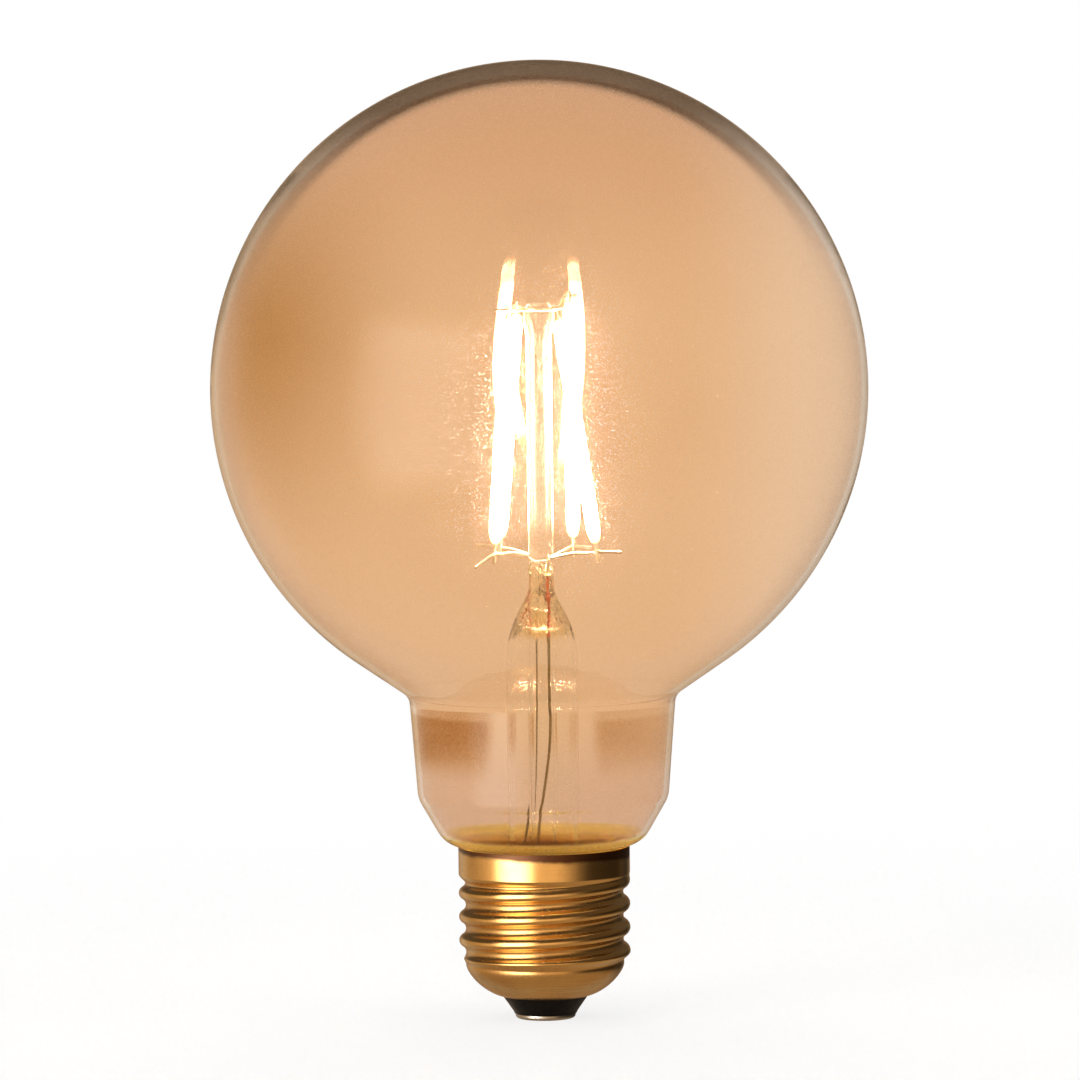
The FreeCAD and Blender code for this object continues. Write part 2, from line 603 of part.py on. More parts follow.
def glass_stem():
    """The flared tube, pressed at its top round the seal wires, with the pumping hole in its side."""
    flare = SPIGOT_BORE_RADIUS - STEM_RADIUS
    turn_in = SPIGOT_FOOT_HEIGHT + STEM_WALL + flare
    flare_centre = meridian(SPIGOT_BORE_RADIUS, turn_in)
    bore = STEM_RADIUS - STEM_WALL
    outer_rim = meridian(SPIGOT_BORE_RADIUS, turn_in - flare)
    inner_rim = meridian(SPIGOT_BORE_RADIUS, SPIGOT_FOOT_HEIGHT)
    ceiling = EXHAUST_RADIUS + SEAL_WIRE_CLEARANCE + 2 * LEAD_WIRE_RADIUS + STEM_CEILING_MARGIN
    tube = turned(
        [
            edge(meridian(STEM_RADIUS, STEM_SHOULDER_HEIGHT), meridian(STEM_RADIUS, turn_in)),
            arc_about(flare_centre, meridian(STEM_RADIUS, turn_in), outer_rim),
            edge(outer_rim, inner_rim),
            arc_about(flare_centre, inner_rim, meridian(bore, turn_in)),
            edge(meridian(bore, turn_in), meridian(bore, STEM_SHOULDER_HEIGHT)),
            edge(meridian(bore, STEM_SHOULDER_HEIGHT), meridian(STEM_RADIUS, STEM_SHOULDER_HEIGHT)),
        ]
    )
    shoulder = (STEM_SHOULDER_HEIGHT, STEM_RADIUS, STEM_RADIUS)
    top = (PRESS_TOP_HEIGHT, PRESS_TOP_HALF_WIDTH, PRESS_TOP_HALF_THICKNESS)
    sections = [(STEM_SHOULDER_HEIGHT + share * PRESS_LENGTH, w, t) for share, w, t in PRESS_SECTIONS]
    press = loft([shoulder, *sections, top], PRESS_TURN)
    rise = STEM_CEILING_HEIGHT - STEM_SHOULDER_HEIGHT
    hollow = turned(
        [
            edge(meridian(0, STEM_SHOULDER_HEIGHT), meridian(bore, STEM_SHOULDER_HEIGHT)),
            Part.Arc(
                meridian(bore, STEM_SHOULDER_HEIGHT),
                meridian(bore - 0.3 * (bore - ceiling), STEM_SHOULDER_HEIGHT + 0.55 * rise),
                meridian(ceiling, STEM_CEILING_HEIGHT),
            ).toShape(),
            edge(meridian(ceiling, STEM_CEILING_HEIGHT), meridian(0, STEM_CEILING_HEIGHT)),
            edge(meridian(0, STEM_CEILING_HEIGHT), meridian(0, STEM_SHOULDER_HEIGHT)),
        ]
    )
    glass = tube.fuse(press.cut(hollow)).removeSplitter()
    for x, y in seal_wire_places().values():
        seal = Part.makeCylinder(LEAD_WIRE_RADIUS + SEAL_GAP, PRESS_TOP_HEIGHT, V(x, y, 0))
        knot = Part.makeSphere(WELD_KNOT_RADIUS + SEAL_GAP, V(x, y, SEAL_WIRE_TOP_HEIGHT))
        above = Part.makeCylinder(LEAD_WIRE_RADIUS + SEAL_GAP, PRESS_TOP_HEIGHT, V(x, y, SEAL_WIRE_TOP_HEIGHT))
        glass = glass.cut(seal.fuse([knot, above]))
    throat = Part.makeCylinder(
        EXHAUST_THROAT_RADIUS,
        EXHAUST_HOLE_HEIGHT + EXHAUST_HOLE_RADIUS + SEAL_GAP - STEM_SHOULDER_HEIGHT,
        V(0, 0, STEM_SHOULDER_HEIGHT),
    )
    across = UP.cross(V(*turned_place(1, PRESS_TURN), 0))
    side = Part.makeCylinder(EXHAUST_HOLE_RADIUS, STEM_RADIUS, V(0, 0, EXHAUST_HOLE_HEIGHT), across)
    return glass.cut(throat).cut(side)


def exhaust_tube():
    """The tube the lamp was pumped through: open into the stem's top, closed by a rounded tip below."""
    bore = EXHAUST_RADIUS - EXHAUST_WALL
    tip_centre = meridian(0, EXHAUST_TIP_HEIGHT + EXHAUST_RADIUS)
    bore_centre = tip_centre + V(0, 0, EXHAUST_TIP_THICKENING)
    return turned(
        Part.__sortEdges__(
            [
                edge(meridian(EXHAUST_RADIUS, STEM_CEILING_HEIGHT), tip_centre + V(EXHAUST_RADIUS, 0, 0)),
                arc_about(tip_centre, tip_centre + V(EXHAUST_RADIUS, 0, 0), meridian(0, EXHAUST_TIP_HEIGHT)),
                edge(meridian(0, EXHAUST_TIP_HEIGHT), bore_centre - V(0, 0, bore)),
                arc_about(bore_centre, bore_centre - V(0, 0, bore), bore_centre + V(bore, 0, 0)),
                edge(bore_centre + V(bore, 0, 0), meridian(bore, STEM_CEILING_HEIGHT)),
                edge(meridian(bore, STEM_CEILING_HEIGHT), meridian(EXHAUST_RADIUS, STEM_CEILING_HEIGHT)),
            ]
        )
    )


def centre_rod():
    """The glass rod on the press: a short neck, a round bar and a flattened top that grips the wires."""
    swell = ROD_RADIUS - ROD_FOOT_RADIUS
    neck_top = PRESS_TOP_HEIGHT + ROD_FOOT_NECK
    full = neck_top + swell
    bar = turned(
        [
            edge(meridian(0, PRESS_TOP_HEIGHT), meridian(ROD_FOOT_RADIUS, PRESS_TOP_HEIGHT)),
            edge(meridian(ROD_FOOT_RADIUS, PRESS_TOP_HEIGHT), meridian(ROD_FOOT_RADIUS, neck_top)),
            arc_about(
                meridian(ROD_FOOT_RADIUS, full), meridian(ROD_FOOT_RADIUS, neck_top), meridian(ROD_RADIUS, full)
            ),
            edge(meridian(ROD_RADIUS, full), meridian(ROD_RADIUS, ROD_PINCH_START_HEIGHT)),
            edge(meridian(ROD_RADIUS, ROD_PINCH_START_HEIGHT), meridian(0, ROD_PINCH_START_HEIGHT)),
            edge(meridian(0, ROD_PINCH_START_HEIGHT), meridian(0, PRESS_TOP_HEIGHT)),
        ]
    )
    pinch = loft(
        [
            (ROD_PINCH_START_HEIGHT, ROD_RADIUS, ROD_RADIUS),
            (ROD_PINCH_HEIGHT, ROD_PINCH_HALF_WIDTH, ROD_PINCH_HALF_THICKNESS),
            (UPPER_WELD_HEIGHT, ROD_PINCH_HALF_WIDTH, ROD_PINCH_HALF_THICKNESS),
            (ROD_TOP_HEIGHT, ROD_TOP_HALF_WIDTH, ROD_PINCH_HALF_THICKNESS),
        ],
        0.0,
    )
    rod = bar.fuse(pinch).removeSplitter()
    for depth in (-TOP_WIRE_DEPTH, TOP_WIRE_DEPTH):
        start = V(-2 * ROD_PINCH_HALF_WIDTH, depth, UPPER_WELD_HEIGHT)
        rod = rod.cut(
            Part.makeCylinder(SUPPORT_WIRE_RADIUS + SEAL_GAP, 4 * ROD_PINCH_HALF_WIDTH, start, V(1, 0, 0))
        )
    return rod


def lower_weld(corner):
    """Where the axis of this corner's filament crosses its lower wire's height."""
    (x, y), _, _, _ = FILAMENT_PLACES[corner]
    return V(x, y, LOWER_WELD_HEIGHT)


def upper_weld(corner):
    """Where the axis of this corner's filament crosses its upper wire."""
    _, (x, y), rise, _ = FILAMENT_PLACES[corner]
    return V(x, y, UPPER_WELD_HEIGHT + rise)


def beside_tab(corner, weld, from_point):
    """The unit direction of a wire that runs from a point past a tab, and the wire's place beside that tab."""
    axis = (upper_weld(corner) - lower_weld(corner)).normalize()
    run = weld - from_point
    along = (run - axis * run.dot(axis)).normalize()
    inward = axis.cross(along)
    if inward.dot(V(weld.x, weld.y, 0)) > 0:
        inward = inward * -1
    reach = TAB_THICKNESS / 2 + WELD_GAP + SUPPORT_WIRE_RADIUS
    return along, weld + inward * reach


def wire_end(corner, weld, from_point, tail):
    """The last three points of a support wire: before its weld, past it, and its free end."""
    along, place = beside_tab(corner, weld, from_point)
    before = place - along * STRAIGHT_PAST_WELD
    past = place + along * STRAIGHT_PAST_WELD
    return [before, past, past + V(*tail)]


def crossing_point(side):
    """Where a side's cross wire passes the inner lead that feeds it."""
    x, y = seal_wire_places()[LEAD_OF_SIDE[side]]
    outward = V(x, 0, 0).normalize()
    beside = LEAD_WIRE_RADIUS + WELD_GAP + SUPPORT_WIRE_RADIUS
    return V(x, y, LOWER_WELD_HEIGHT - CROSS_WIRE_DIP) + outward * beside


def cross_wire_knee(corner):
    """The bend of a cross wire between its lead and this corner's filament, bowed clear of the rod."""
    start, weld = crossing_point(corner.split("_")[1]), lower_weld(corner)
    knee = start + (weld - start) * CROSS_WIRE_KNEE_SHARE
    knee.x += math.copysign(CROSS_WIRE_BOW, start.x)
    knee.z = LOWER_WELD_HEIGHT - CROSS_WIRE_KNEE_DROP
    return knee


def cross_wire(side):
    """The lower wire that carries the feet of two filaments, welded across an inner lead."""
    middle = crossing_point(side)
    halves = []
    for corner in ("front_" + side, "back_" + side):
        knee = cross_wire_knee(corner)
        halves.append([knee, *wire_end(corner, lower_weld(corner), knee, CROSS_WIRE_ENDS[corner])])
    front, back = halves
    level = V(0, CROSS_WIRE_LEVEL / 2, 0)
    return round_wire([*reversed(front), middle - level, middle + level, *back], SUPPORT_WIRE_RADIUS)


def rod_exit(corner):
    """The bend of a top wire just outside the rod, on the way to this corner's filament."""
    row, side = corner.split("_")
    offset = ROD_PINCH_HALF_WIDTH + TOP_WIRE_CLEAR_OF_ROD
    x = -offset if side == "left" else offset
    y = -TOP_WIRE_DEPTH if row == "front" else TOP_WIRE_DEPTH
    return V(x, y, UPPER_WELD_HEIGHT)


def top_wire(row):
    """The upper wire that joins two filaments' heads through the rod's flattened top."""
    halves = []
    for corner in (row + "_left", row + "_right"):
        leaving = rod_exit(corner)
        halves.append([leaving, *wire_end(corner, upper_weld(corner), leaving, TOP_WIRE_ENDS[corner])])
    left, right = halves
    return round_wire([*reversed(left), *right], SUPPORT_WIRE_RADIUS)


def seal_wire(end):
    """The copper-clad wire sealed in the press."""
    x, y = seal_wire_places()[end]
    length = SEAL_WIRE_TOP_HEIGHT - SEAL_WIRE_FOOT_HEIGHT
    return Part.makeCylinder(LEAD_WIRE_RADIUS, length, V(x, y, SEAL_WIRE_FOOT_HEIGHT))


def inner_lead(end):
    """The short wire from the seal wire up to the cross wire, with its weld knot."""
    x, y = seal_wire_places()[end]
    foot = V(x, y, SEAL_WIRE_TOP_HEIGHT)
    top = LOWER_WELD_HEIGHT - CROSS_WIRE_DIP + 2 * SUPPORT_WIRE_RADIUS
    post = Part.makeCylinder(LEAD_WIRE_RADIUS, top - SEAL_WIRE_TOP_HEIGHT, foot)
    knot = Part.makeSphere(WELD_KNOT_RADIUS, foot)
    below = Part.makeCylinder(LEAD_WIRE_RADIUS, WELD_KNOT_RADIUS, V(x, y, foot.z - WELD_KNOT_RADIUS))
    return post.fuse(knot).cut(below)


def outer_lead(end):
    """The wire from the seal wire's foot down through the stem to the driver board."""
    x, y = seal_wire_places()[end]
    hole_x, hole_y = {"front": FRONT_LEAD_HOLE, "back": BACK_LEAD_HOLE}[end]
    top = V(x, y, SEAL_WIRE_FOOT_HEIGHT)
    bottom = V(hole_x, hole_y, BOARD_TOP_HEIGHT + LEAD_STRAIGHT_FOOT)
    points = [top, top - UP * LEAD_STRAIGHT_TOP]
    bows = LEAD_BOWS[end]
    for number, (dx, dy) in enumerate(bows, 1):
        share = number / (len(bows) + 1)
        points.append(top + (bottom - top) * share + V(dx, dy, 0))
    points += [bottom, V(hole_x, hole_y, BOARD_UNDERSIDE_HEIGHT - LEAD_TAIL_BELOW_BOARD)]
    return round_wire(points, LEAD_WIRE_RADIUS, LEAD_BEND_RADIUS)


def filament_frame(corner):
    """A filament's lower weld, its unit direction and its length between welds."""
    low, high = lower_weld(corner), upper_weld(corner)
    return low, (high - low).normalize(), (high - low).Length


def filament_ends(corner):
    """Distances along a filament, from its lower weld, at which its phosphor starts and ends."""
    _, _, length = filament_frame(corner)
    return FILAMENT_LOWER_GAP, length - FILAMENT_PLACES[corner][3]


def filament(corner):
    """The phosphor bar, tapered at both ends."""
    low, axis, _ = filament_frame(corner)
    start, end = filament_ends(corner)
    bar = turned_outline(
        [
            (0, start),
            (FILAMENT_TIP_RADIUS, start),
            (FILAMENT_RADIUS, start + FILAMENT_TAPER),
            (FILAMENT_RADIUS, end - FILAMENT_TAPER),
            (FILAMENT_TIP_RADIUS, end),
            (0, end),
        ]
    )
    bar.Placement = FreeCAD.Placement(low, FreeCAD.Rotation(UP, axis))
    return bar


def tab(corner, weld, from_point, start, end):
    """A flat tab along a filament's axis, turned so that its face lies along the wire it is welded to."""
    low, axis, _ = filament_frame(corner)
    along, _ = beside_tab(corner, weld, from_point)
    strip = Part.makeBox(
        TAB_WIDTH, TAB_THICKNESS, end - start, V(-TAB_WIDTH / 2, -TAB_THICKNESS / 2, start)
    )
    strip.Placement = FreeCAD.Placement(low, FreeCAD.Rotation(along, axis.cross(along), axis, "ZXY"))
    return strip


def filament_tabs(corner):
    """The two tabs that carry a filament, one at each end of its phosphor."""
    start, end = filament_ends(corner)
    _, _, length = filament_frame(corner)
    lower = tab(corner, lower_weld(corner), cross_wire_knee(corner), -TAB_LOWER_TAIL, start)
    upper = tab(corner, upper_weld(corner), rod_exit(corner), end, length + TAB_UPPER_TAIL)
    return Part.makeCompound([lower, upper])


def driver_board():
    """The round circuit board, with the holes its leads pass through."""
    board = Part.makeCylinder(BOARD_RADIUS, BOARD_THICKNESS, V(0, 0, BOARD_UNDERSIDE_HEIGHT))
    hole = LEAD_WIRE_RADIUS + BOARD_HOLE_CLEARANCE
    for x, y in (FRONT_LEAD_HOLE, BACK_LEAD_HOLE):
        board = board.cut(Part.makeCylinder(hole, 3 * BOARD_THICKNESS, V(x, y, BOARD_UNDERSIDE_HEIGHT - 1)))
    return board


def chip_body(length, depth, height, place):
    """A moulded chip body with its edges cut back, lying on its legs."""
    corner = V(place[0] - length / 2, place[1] - depth / 2, BOARD_TOP_HEIGHT + CHIP_STANDOFF)
    block = Part.makeBox(length, depth, height - CHIP_STANDOFF, corner)
    top = [e for e in block.Edges if e.CenterOfMass.z > corner.z + 0.99 * (height - CHIP_STANDOFF)]
    return block.makeChamfer(CHIP_EDGE_CHAMFER, top)


def chip_legs(length, depth, height, place, places_along):
    """Bent legs on the two long sides of a chip, each a foot, a rise and a shoulder into the body."""
    thickness = CHIP_LEG_THICKNESS
    middle = BOARD_TOP_HEIGHT + height / 2
    legs = []
    for sign in (-1, 1):
        side = depth / 2
        outline = [
            (side, middle),
            (side + CHIP_LEG_REACH / 2, middle),
            (side + CHIP_LEG_REACH / 2, BOARD_TOP_HEIGHT + thickness),
            (side + CHIP_LEG_REACH, BOARD_TOP_HEIGHT + thickness),
            (side + CHIP_LEG_REACH, BOARD_TOP_HEIGHT),
            (side + CHIP_LEG_REACH / 2 - thickness, BOARD_TOP_HEIGHT),
            (side + CHIP_LEG_REACH / 2 - thickness, middle - thickness),
            (side, middle - thickness),
        ]
        for offset in places_along:
            corners = [V(offset * length - CHIP_LEG_WIDTH / 2, sign * d, z) for d, z in outline]
            face = Part.Face(Part.makePolygon([*corners, corners[0]]))
            leg = face.extrude(V(CHIP_LEG_WIDTH, 0, 0))
            leg.translate(V(place[0], place[1], 0))
            legs.append(leg)
    return Part.makeCompound(legs)


def smoothing_capacitor():
    """The upright capacitor can with rounded ends."""
    foot = V(*CAPACITOR_PLACE, BOARD_TOP_HEIGHT + CAPACITOR_STANDOFF)
    can = Part.makeCylinder(CAPACITOR_RADIUS, CAPACITOR_HEIGHT, foot)
    rims = [e for e in can.Edges if isinstance(e.Curve, Part.Circle)]
    return can.makeFillet(CAPACITOR_EDGE_ROUNDING, rims)


def capacitor_legs():
    """The capacitor's two legs, down to the board."""
    legs = []
    for sign in (-1, 1):
        place = V(CAPACITOR_PLACE[0], CAPACITOR_PLACE[1] + sign * CAPACITOR_LEG_SPACING / 2, BOARD_TOP_HEIGHT)
        legs.append(Part.makeCylinder(CAPACITOR_LEG_RADIUS, CAPACITOR_STANDOFF, place))
    return Part.makeCompound(legs)


def fuse_resistor():
    """The fusible resistor, a lying cylinder with swollen ends."""
    half = FUSE_LENGTH / 2
    body = turned_outline(
        [
            (0, -half),
            (FUSE_END_RADIUS, -half),
            (FUSE_RADIUS, -0.85 * half),
            (FUSE_RADIUS, -0.65 * half),
            (FUSE_WAIST_RADIUS, -0.5 * half),
            (FUSE_WAIST_RADIUS, 0.5 * half),
            (FUSE_RADIUS, 0.65 * half),
            (FUSE_RADIUS, 0.85 * half),
            (FUSE_END_RADIUS, half),
            (0, half),
        ]
    )
    centre = V(*FUSE_PLACE, BOARD_TOP_HEIGHT + FUSE_STANDOFF + FUSE_RADIUS)
    body.Placement = FreeCAD.Placement(centre, FreeCAD.Rotation(UP, V(0, 1, 0)))
    return body


def fuse_legs():
    """The fusible resistor's two bent legs."""
    x, y = FUSE_PLACE
    height = BOARD_TOP_HEIGHT + FUSE_STANDOFF + FUSE_RADIUS
    legs = []
    for sign in (-1, 1):
        near = y + sign * FUSE_LENGTH / 2
        far = near + sign * FUSE_LEG_REACH
        points = [V(x, near, height), V(x, far, height), V(x, far, BOARD_TOP_HEIGHT)]
        legs.append(round_wire(points, FUSE_LEG_RADIUS, 2 * FUSE_LEG_RADIUS))
    return Part.makeCompound(legs)


def live_wire():
    """The wire from the rivet head of the centre contact to the board's underside."""
    start = INSULATOR_TOP_HEIGHT + RIVET_HEAD_THICKNESS
    x, y = LIVE_WIRE_PLACE
    rise = BOARD_UNDERSIDE_HEIGHT - start
    points = [
        V(0, 0, start),
        V(0, 0, start + 0.35 * rise),
        V(x, y, start + 0.65 * rise),
        V(x, y, BOARD_UNDERSIDE_HEIGHT),
    ]
    return round_wire(points, HOOKUP_WIRE_RADIUS)


def neutral_direction():
    """The direction in plan in which the thread bulges outward just below the spigot's foot."""
    angle = 2 * math.pi * (SPIGOT_FOOT_HEIGHT - THREAD_CREST_HEIGHT) / THREAD_PITCH
    return V(math.cos(angle), math.sin(angle), 0)


def neutral_wire():
    """The wire from the board up between spigot and shell, to the solder in the plain collar."""
    out = neutral_direction()
    inner = BOARD_RADIUS - HOOKUP_WIRE_RADIUS - NEUTRAL_WALL_GAP
    outer = COLLAR_INNER_RADIUS - HOOKUP_WIRE_RADIUS - NEUTRAL_WALL_GAP
    points = [
        out * inner + UP * BOARD_TOP_HEIGHT,
        out * inner + UP * (SPIGOT_FOOT_HEIGHT - THREAD_PITCH / 2),
        out * outer + UP * (SPIGOT_FOOT_HEIGHT + 0.1 * THREAD_PITCH),
        out * outer + UP * (neutral_solder_height() - NEUTRAL_SOLDER_RADIUS * 0.6),
    ]
    return round_wire(points, HOOKUP_WIRE_RADIUS)


def neutral_solder_height():
    """Height of the solder's centre, just below the cement."""
    return CEMENT_FOOT_HEIGHT - NEUTRAL_SOLDER_RADIUS - NEUTRAL_WALL_GAP


def neutral_solder():
    """The solder that joins the neutral wire to the inside of the collar."""
    out = neutral_direction()
    start = out * (SPIGOT_RADIUS + NEUTRAL_WALL_GAP) + UP * neutral_solder_height()
    drop = Part.makeCylinder(NEUTRAL_SOLDER_RADIUS, THREAD_CREST_RADIUS, start, out)
    collar = Part.makeCylinder(COLLAR_INNER_RADIUS - SEAT_CLEARANCE, 2 * CEMENT_FOOT_HEIGHT)
    return drop.common(collar).cut(neutral_wire())


def main():
    corners = list(FILAMENT_PLACES)
    rectifier = (RECTIFIER_LENGTH, RECTIFIER_DEPTH, RECTIFIER_HEIGHT, RECTIFIER_PLACE)
    regulator = (REGULATOR_LENGTH, REGULATOR_DEPTH, REGULATOR_HEIGHT, REGULATOR_PLACE)
    shapes = {
        "glass_globe": glass_globe(),
        "glass_stem": glass_stem(),
        "exhaust_tube": exhaust_tube(),
        "centre_rod": centre_rod(),
        "cross_wire_left": cross_wire("left"),
        "cross_wire_right": cross_wire("right"),
        "top_wire_front": top_wire("front"),
        "top_wire_back": top_wire("back"),
        "screw_shell": screw_shell(),
        "basing_cement": basing_cement(),
        "cap_insulator": cap_insulator(),
        "centre_contact": centre_contact(),
        "driver_board": driver_board(),
        "bridge_rectifier": chip_body(*rectifier),
        "rectifier_legs": chip_legs(*rectifier, (-0.27, 0.27)),
        "current_regulator": chip_body(*regulator),
        "regulator_legs": chip_legs(*regulator, (-0.33, 0.0, 0.33)),
        "smoothing_capacitor": smoothing_capacitor(),
        "capacitor_legs": capacitor_legs(),
        "fuse_resistor": fuse_resistor(),
        "fuse_legs": fuse_legs(),
        "live_wire": live_wire(),
        "neutral_wire": neutral_wire(),
        "neutral_solder": neutral_solder(),
    }
    for end in ("front", "back"):
        shapes["seal_wire_" + end] = seal_wire(end)
        shapes["inner_lead_" + end] = inner_lead(end)
        shapes["outer_lead_" + end] = outer_lead(end)
    for corner in corners:
        shapes["filament_" + corner] = filament(corner)
        shapes["tabs_" + corner] = filament_tabs(corner)

    os.makedirs(PARTS_FOLDER, exist_ok=True)
    for name, shape in shapes.items():
        print(name, "valid" if shape.isValid() else "INVALID", round(shape.Volume, 3), len(shape.Solids))
        shape.exportStep(os.path.join(PARTS_FOLDER, name + ".step"))


main()
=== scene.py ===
import logging
import math
from collections.abc import Callable, Sequence
from dataclasses import dataclass, field
from enum import Enum

import bpy
from mathutils import Matrix, Vector


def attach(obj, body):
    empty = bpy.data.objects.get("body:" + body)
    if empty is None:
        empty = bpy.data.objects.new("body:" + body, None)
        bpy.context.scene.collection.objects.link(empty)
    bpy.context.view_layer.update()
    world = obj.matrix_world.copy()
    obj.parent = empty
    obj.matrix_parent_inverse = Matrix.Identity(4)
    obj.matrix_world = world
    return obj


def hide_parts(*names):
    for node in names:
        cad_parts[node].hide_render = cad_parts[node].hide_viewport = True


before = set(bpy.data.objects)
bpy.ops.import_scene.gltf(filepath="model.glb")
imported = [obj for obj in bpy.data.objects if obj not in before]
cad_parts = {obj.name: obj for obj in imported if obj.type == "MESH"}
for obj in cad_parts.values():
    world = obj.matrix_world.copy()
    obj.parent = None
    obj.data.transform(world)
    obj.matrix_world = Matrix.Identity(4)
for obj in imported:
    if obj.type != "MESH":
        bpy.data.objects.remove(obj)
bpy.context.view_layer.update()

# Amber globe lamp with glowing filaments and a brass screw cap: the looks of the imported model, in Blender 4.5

MM = 0.001
TINY = 1e-6  # a length below this counts as none
HANDLE_SHARE = 0.55  # how far a handle reaches towards the corner of a round bend
LOG = logging.getLogger("globe_lamp")

Value = object
Colour = tuple[float, float, float]
Pair = tuple[float, float]
Triple = tuple[float, float, float]


# Node trees


class Bench:
    """Puts nodes into one tree, of materials or of geometry, and links them."""

    def __init__(self, tree: bpy.types.NodeTree) -> None:
        """Keeps the tree that the nodes go into."""
        self.tree = tree

    def feed(self, socket: bpy.types.NodeSocket, value: Value) -> None:
        """Links a value to a socket, or sets it there when it is plain.

        Args:
            socket: The input that takes the value.
            value: A number, a tuple, a name, a node, a socket or a Number.
        """
        if isinstance(value, Number):
            value = value.socket
        if isinstance(value, bpy.types.Node):
            value = value.outputs[0]
        if isinstance(value, bpy.types.NodeSocket):
            self.tree.links.new(value, socket)
        elif isinstance(value, tuple) and len(value) == 3 and socket.type == "RGBA":
            socket.default_value = (*value, 1.0)
        else:
            socket.default_value = value

    def add(
        self, kind: str, inputs: dict[str | int, Value] | None = None, **settings: Value
    ) -> bpy.types.Node:
        """Adds one node.

        Args:
            kind: The node's type in Blender.
            inputs: What its inputs take, by name or by number.
            **settings: Properties of the node itself.

        Returns:
            The new node.
        """
        node = self.tree.nodes.new(kind)
        for name, value in settings.items():
            setattr(node, name, value)
        for key, value in (inputs or {}).items():
            self.feed(node.inputs[key], value)
        return node

    def number(self, value: Value) -> "Number":
        """A Number for a socket or for a node's first output."""
        return Number(self, value.outputs[0] if isinstance(value, bpy.types.Node) else value)

    def maths(self, operation: str, *values: Value) -> "Number":
        """The result of one Math node.

        Args:
            operation: The node's operation.
            *values: What it works on, at least one of them a Number.

        Returns:
            The result as a Number.
        """
        return self.number(self.add("ShaderNodeMath", dict(enumerate(values)), operation=operation))

    def axes(self, vector: Value) -> tuple["Number", "Number", "Number"]:
        """The three parts of a vector, as Numbers."""
        parts = self.add("ShaderNodeSeparateXYZ", {0: vector})
        return tuple(Number(self, socket) for socket in parts.outputs)

    def place(self) -> bpy.types.NodeSocket:
        """The point being shaded, in the piece's own coordinates."""
        return self.add("ShaderNodeTexCoord").outputs["Object"]

    def stretched(self, vector: Value, scale: Triple) -> bpy.types.Node:
        """A vector scaled by its own factor along each axis."""
        return self.add("ShaderNodeMapping", {"Vector": vector, "Scale": scale})

    def blend(self, share: Value, low: Value, high: Value) -> bpy.types.NodeSocket:
        """A colour between two colours.

        Args:
            share: 0 for the low colour, 1 for the high one.
            low: The first colour.
            high: The second colour.

        Returns:
            The socket with the mixed colour.
        """
        node = self.add("ShaderNodeMix", data_type="RGBA")
        for index, value in ((0, share), (6, low), (7, high)):
            self.feed(node.inputs[index], value)
        return node.outputs[2]

    def group(self, tree: bpy.types.NodeTree, **inputs: Value) -> bpy.types.Node:
        """Places a shared group with its own values.

        Args:
            tree: The group's tree.
            **inputs: Values by input name, with underscores for spaces.

        Returns:
            The group's node.
        """
        node = self.add("ShaderNodeGroup", node_tree=tree)
        for name, value in inputs.items():
            self.feed(node.inputs[name.replace("_", " ").capitalize()], value)
        return node


class Number:
    """A number that runs through a node tree, with the usual arithmetic."""

    def __init__(self, bench: Bench, socket: bpy.types.NodeSocket) -> None:
        """Keeps the socket that gives the number."""
        self.bench = bench
        self.socket = socket

    def maths(self, operation: str, *others: Value) -> "Number":
        """The result of a Math node that starts from this number."""
        return self.bench.maths(operation, self, *others)

    def __add__(self, other: Value) -> "Number":
        """Sum."""
        return self.maths("ADD", other)

    def __sub__(self, other: Value) -> "Number":
        """Difference."""
        return self.maths("SUBTRACT", other)

    def __rsub__(self, other: Value) -> "Number":
        """Difference from a plain value."""
        return self.bench.maths("SUBTRACT", other, self)

    def __mul__(self, other: Value) -> "Number":
        """Product."""
        return self.maths("MULTIPLY", other)

    def __truediv__(self, other: Value) -> "Number":
        """Quotient."""
        return self.maths("DIVIDE", other)

    def __pow__(self, other: Value) -> "Number":
        """Power."""
        return self.maths("POWER", other)

    __radd__ = __add__
    __rmul__ = __mul__

    def root(self) -> "Number":
        """Square root."""
        return self.maths("SQRT")

    def size(self) -> "Number":
        """Absolute value."""
        return self.maths("ABSOLUTE")

    def nearest(self) -> "Number":
        """The nearest whole number."""
        return self.maths("ROUND")

    def sine(self) -> "Number":
        """Sine of an angle in radians."""
        return self.maths("SINE")

    def cosine(self) -> "Number":
        """Cosine of an angle in radians."""
        return self.maths("COSINE")

    def above(self, limit: Value) -> "Number":
        """1 where the number is more than the limit, else 0."""
        return self.maths("GREATER_THAN", limit)

    def clipped(self) -> "Number":
        """The number held between 0 and 1."""
        return self.maths("MAXIMUM", 0.0).maths("MINIMUM", 1.0)

    def eased(self) -> "Number":
        """Rises smoothly from 0 to 1 as the number does."""
        share = self.clipped()
        return share * share * (3.0 - 2.0 * share)

    def ramp(self, low: float, high: float) -> "Number":
        """Rises smoothly from 0 at low to 1 at high, or falls where high is the smaller."""
        return ((self - low) / (high - low)).eased()

    def choose(self, when_one: Value, when_zero: Value) -> "Number":
        """One of two numbers, for a number that is 0 or 1."""
        return self * (when_one - when_zero) + when_zero


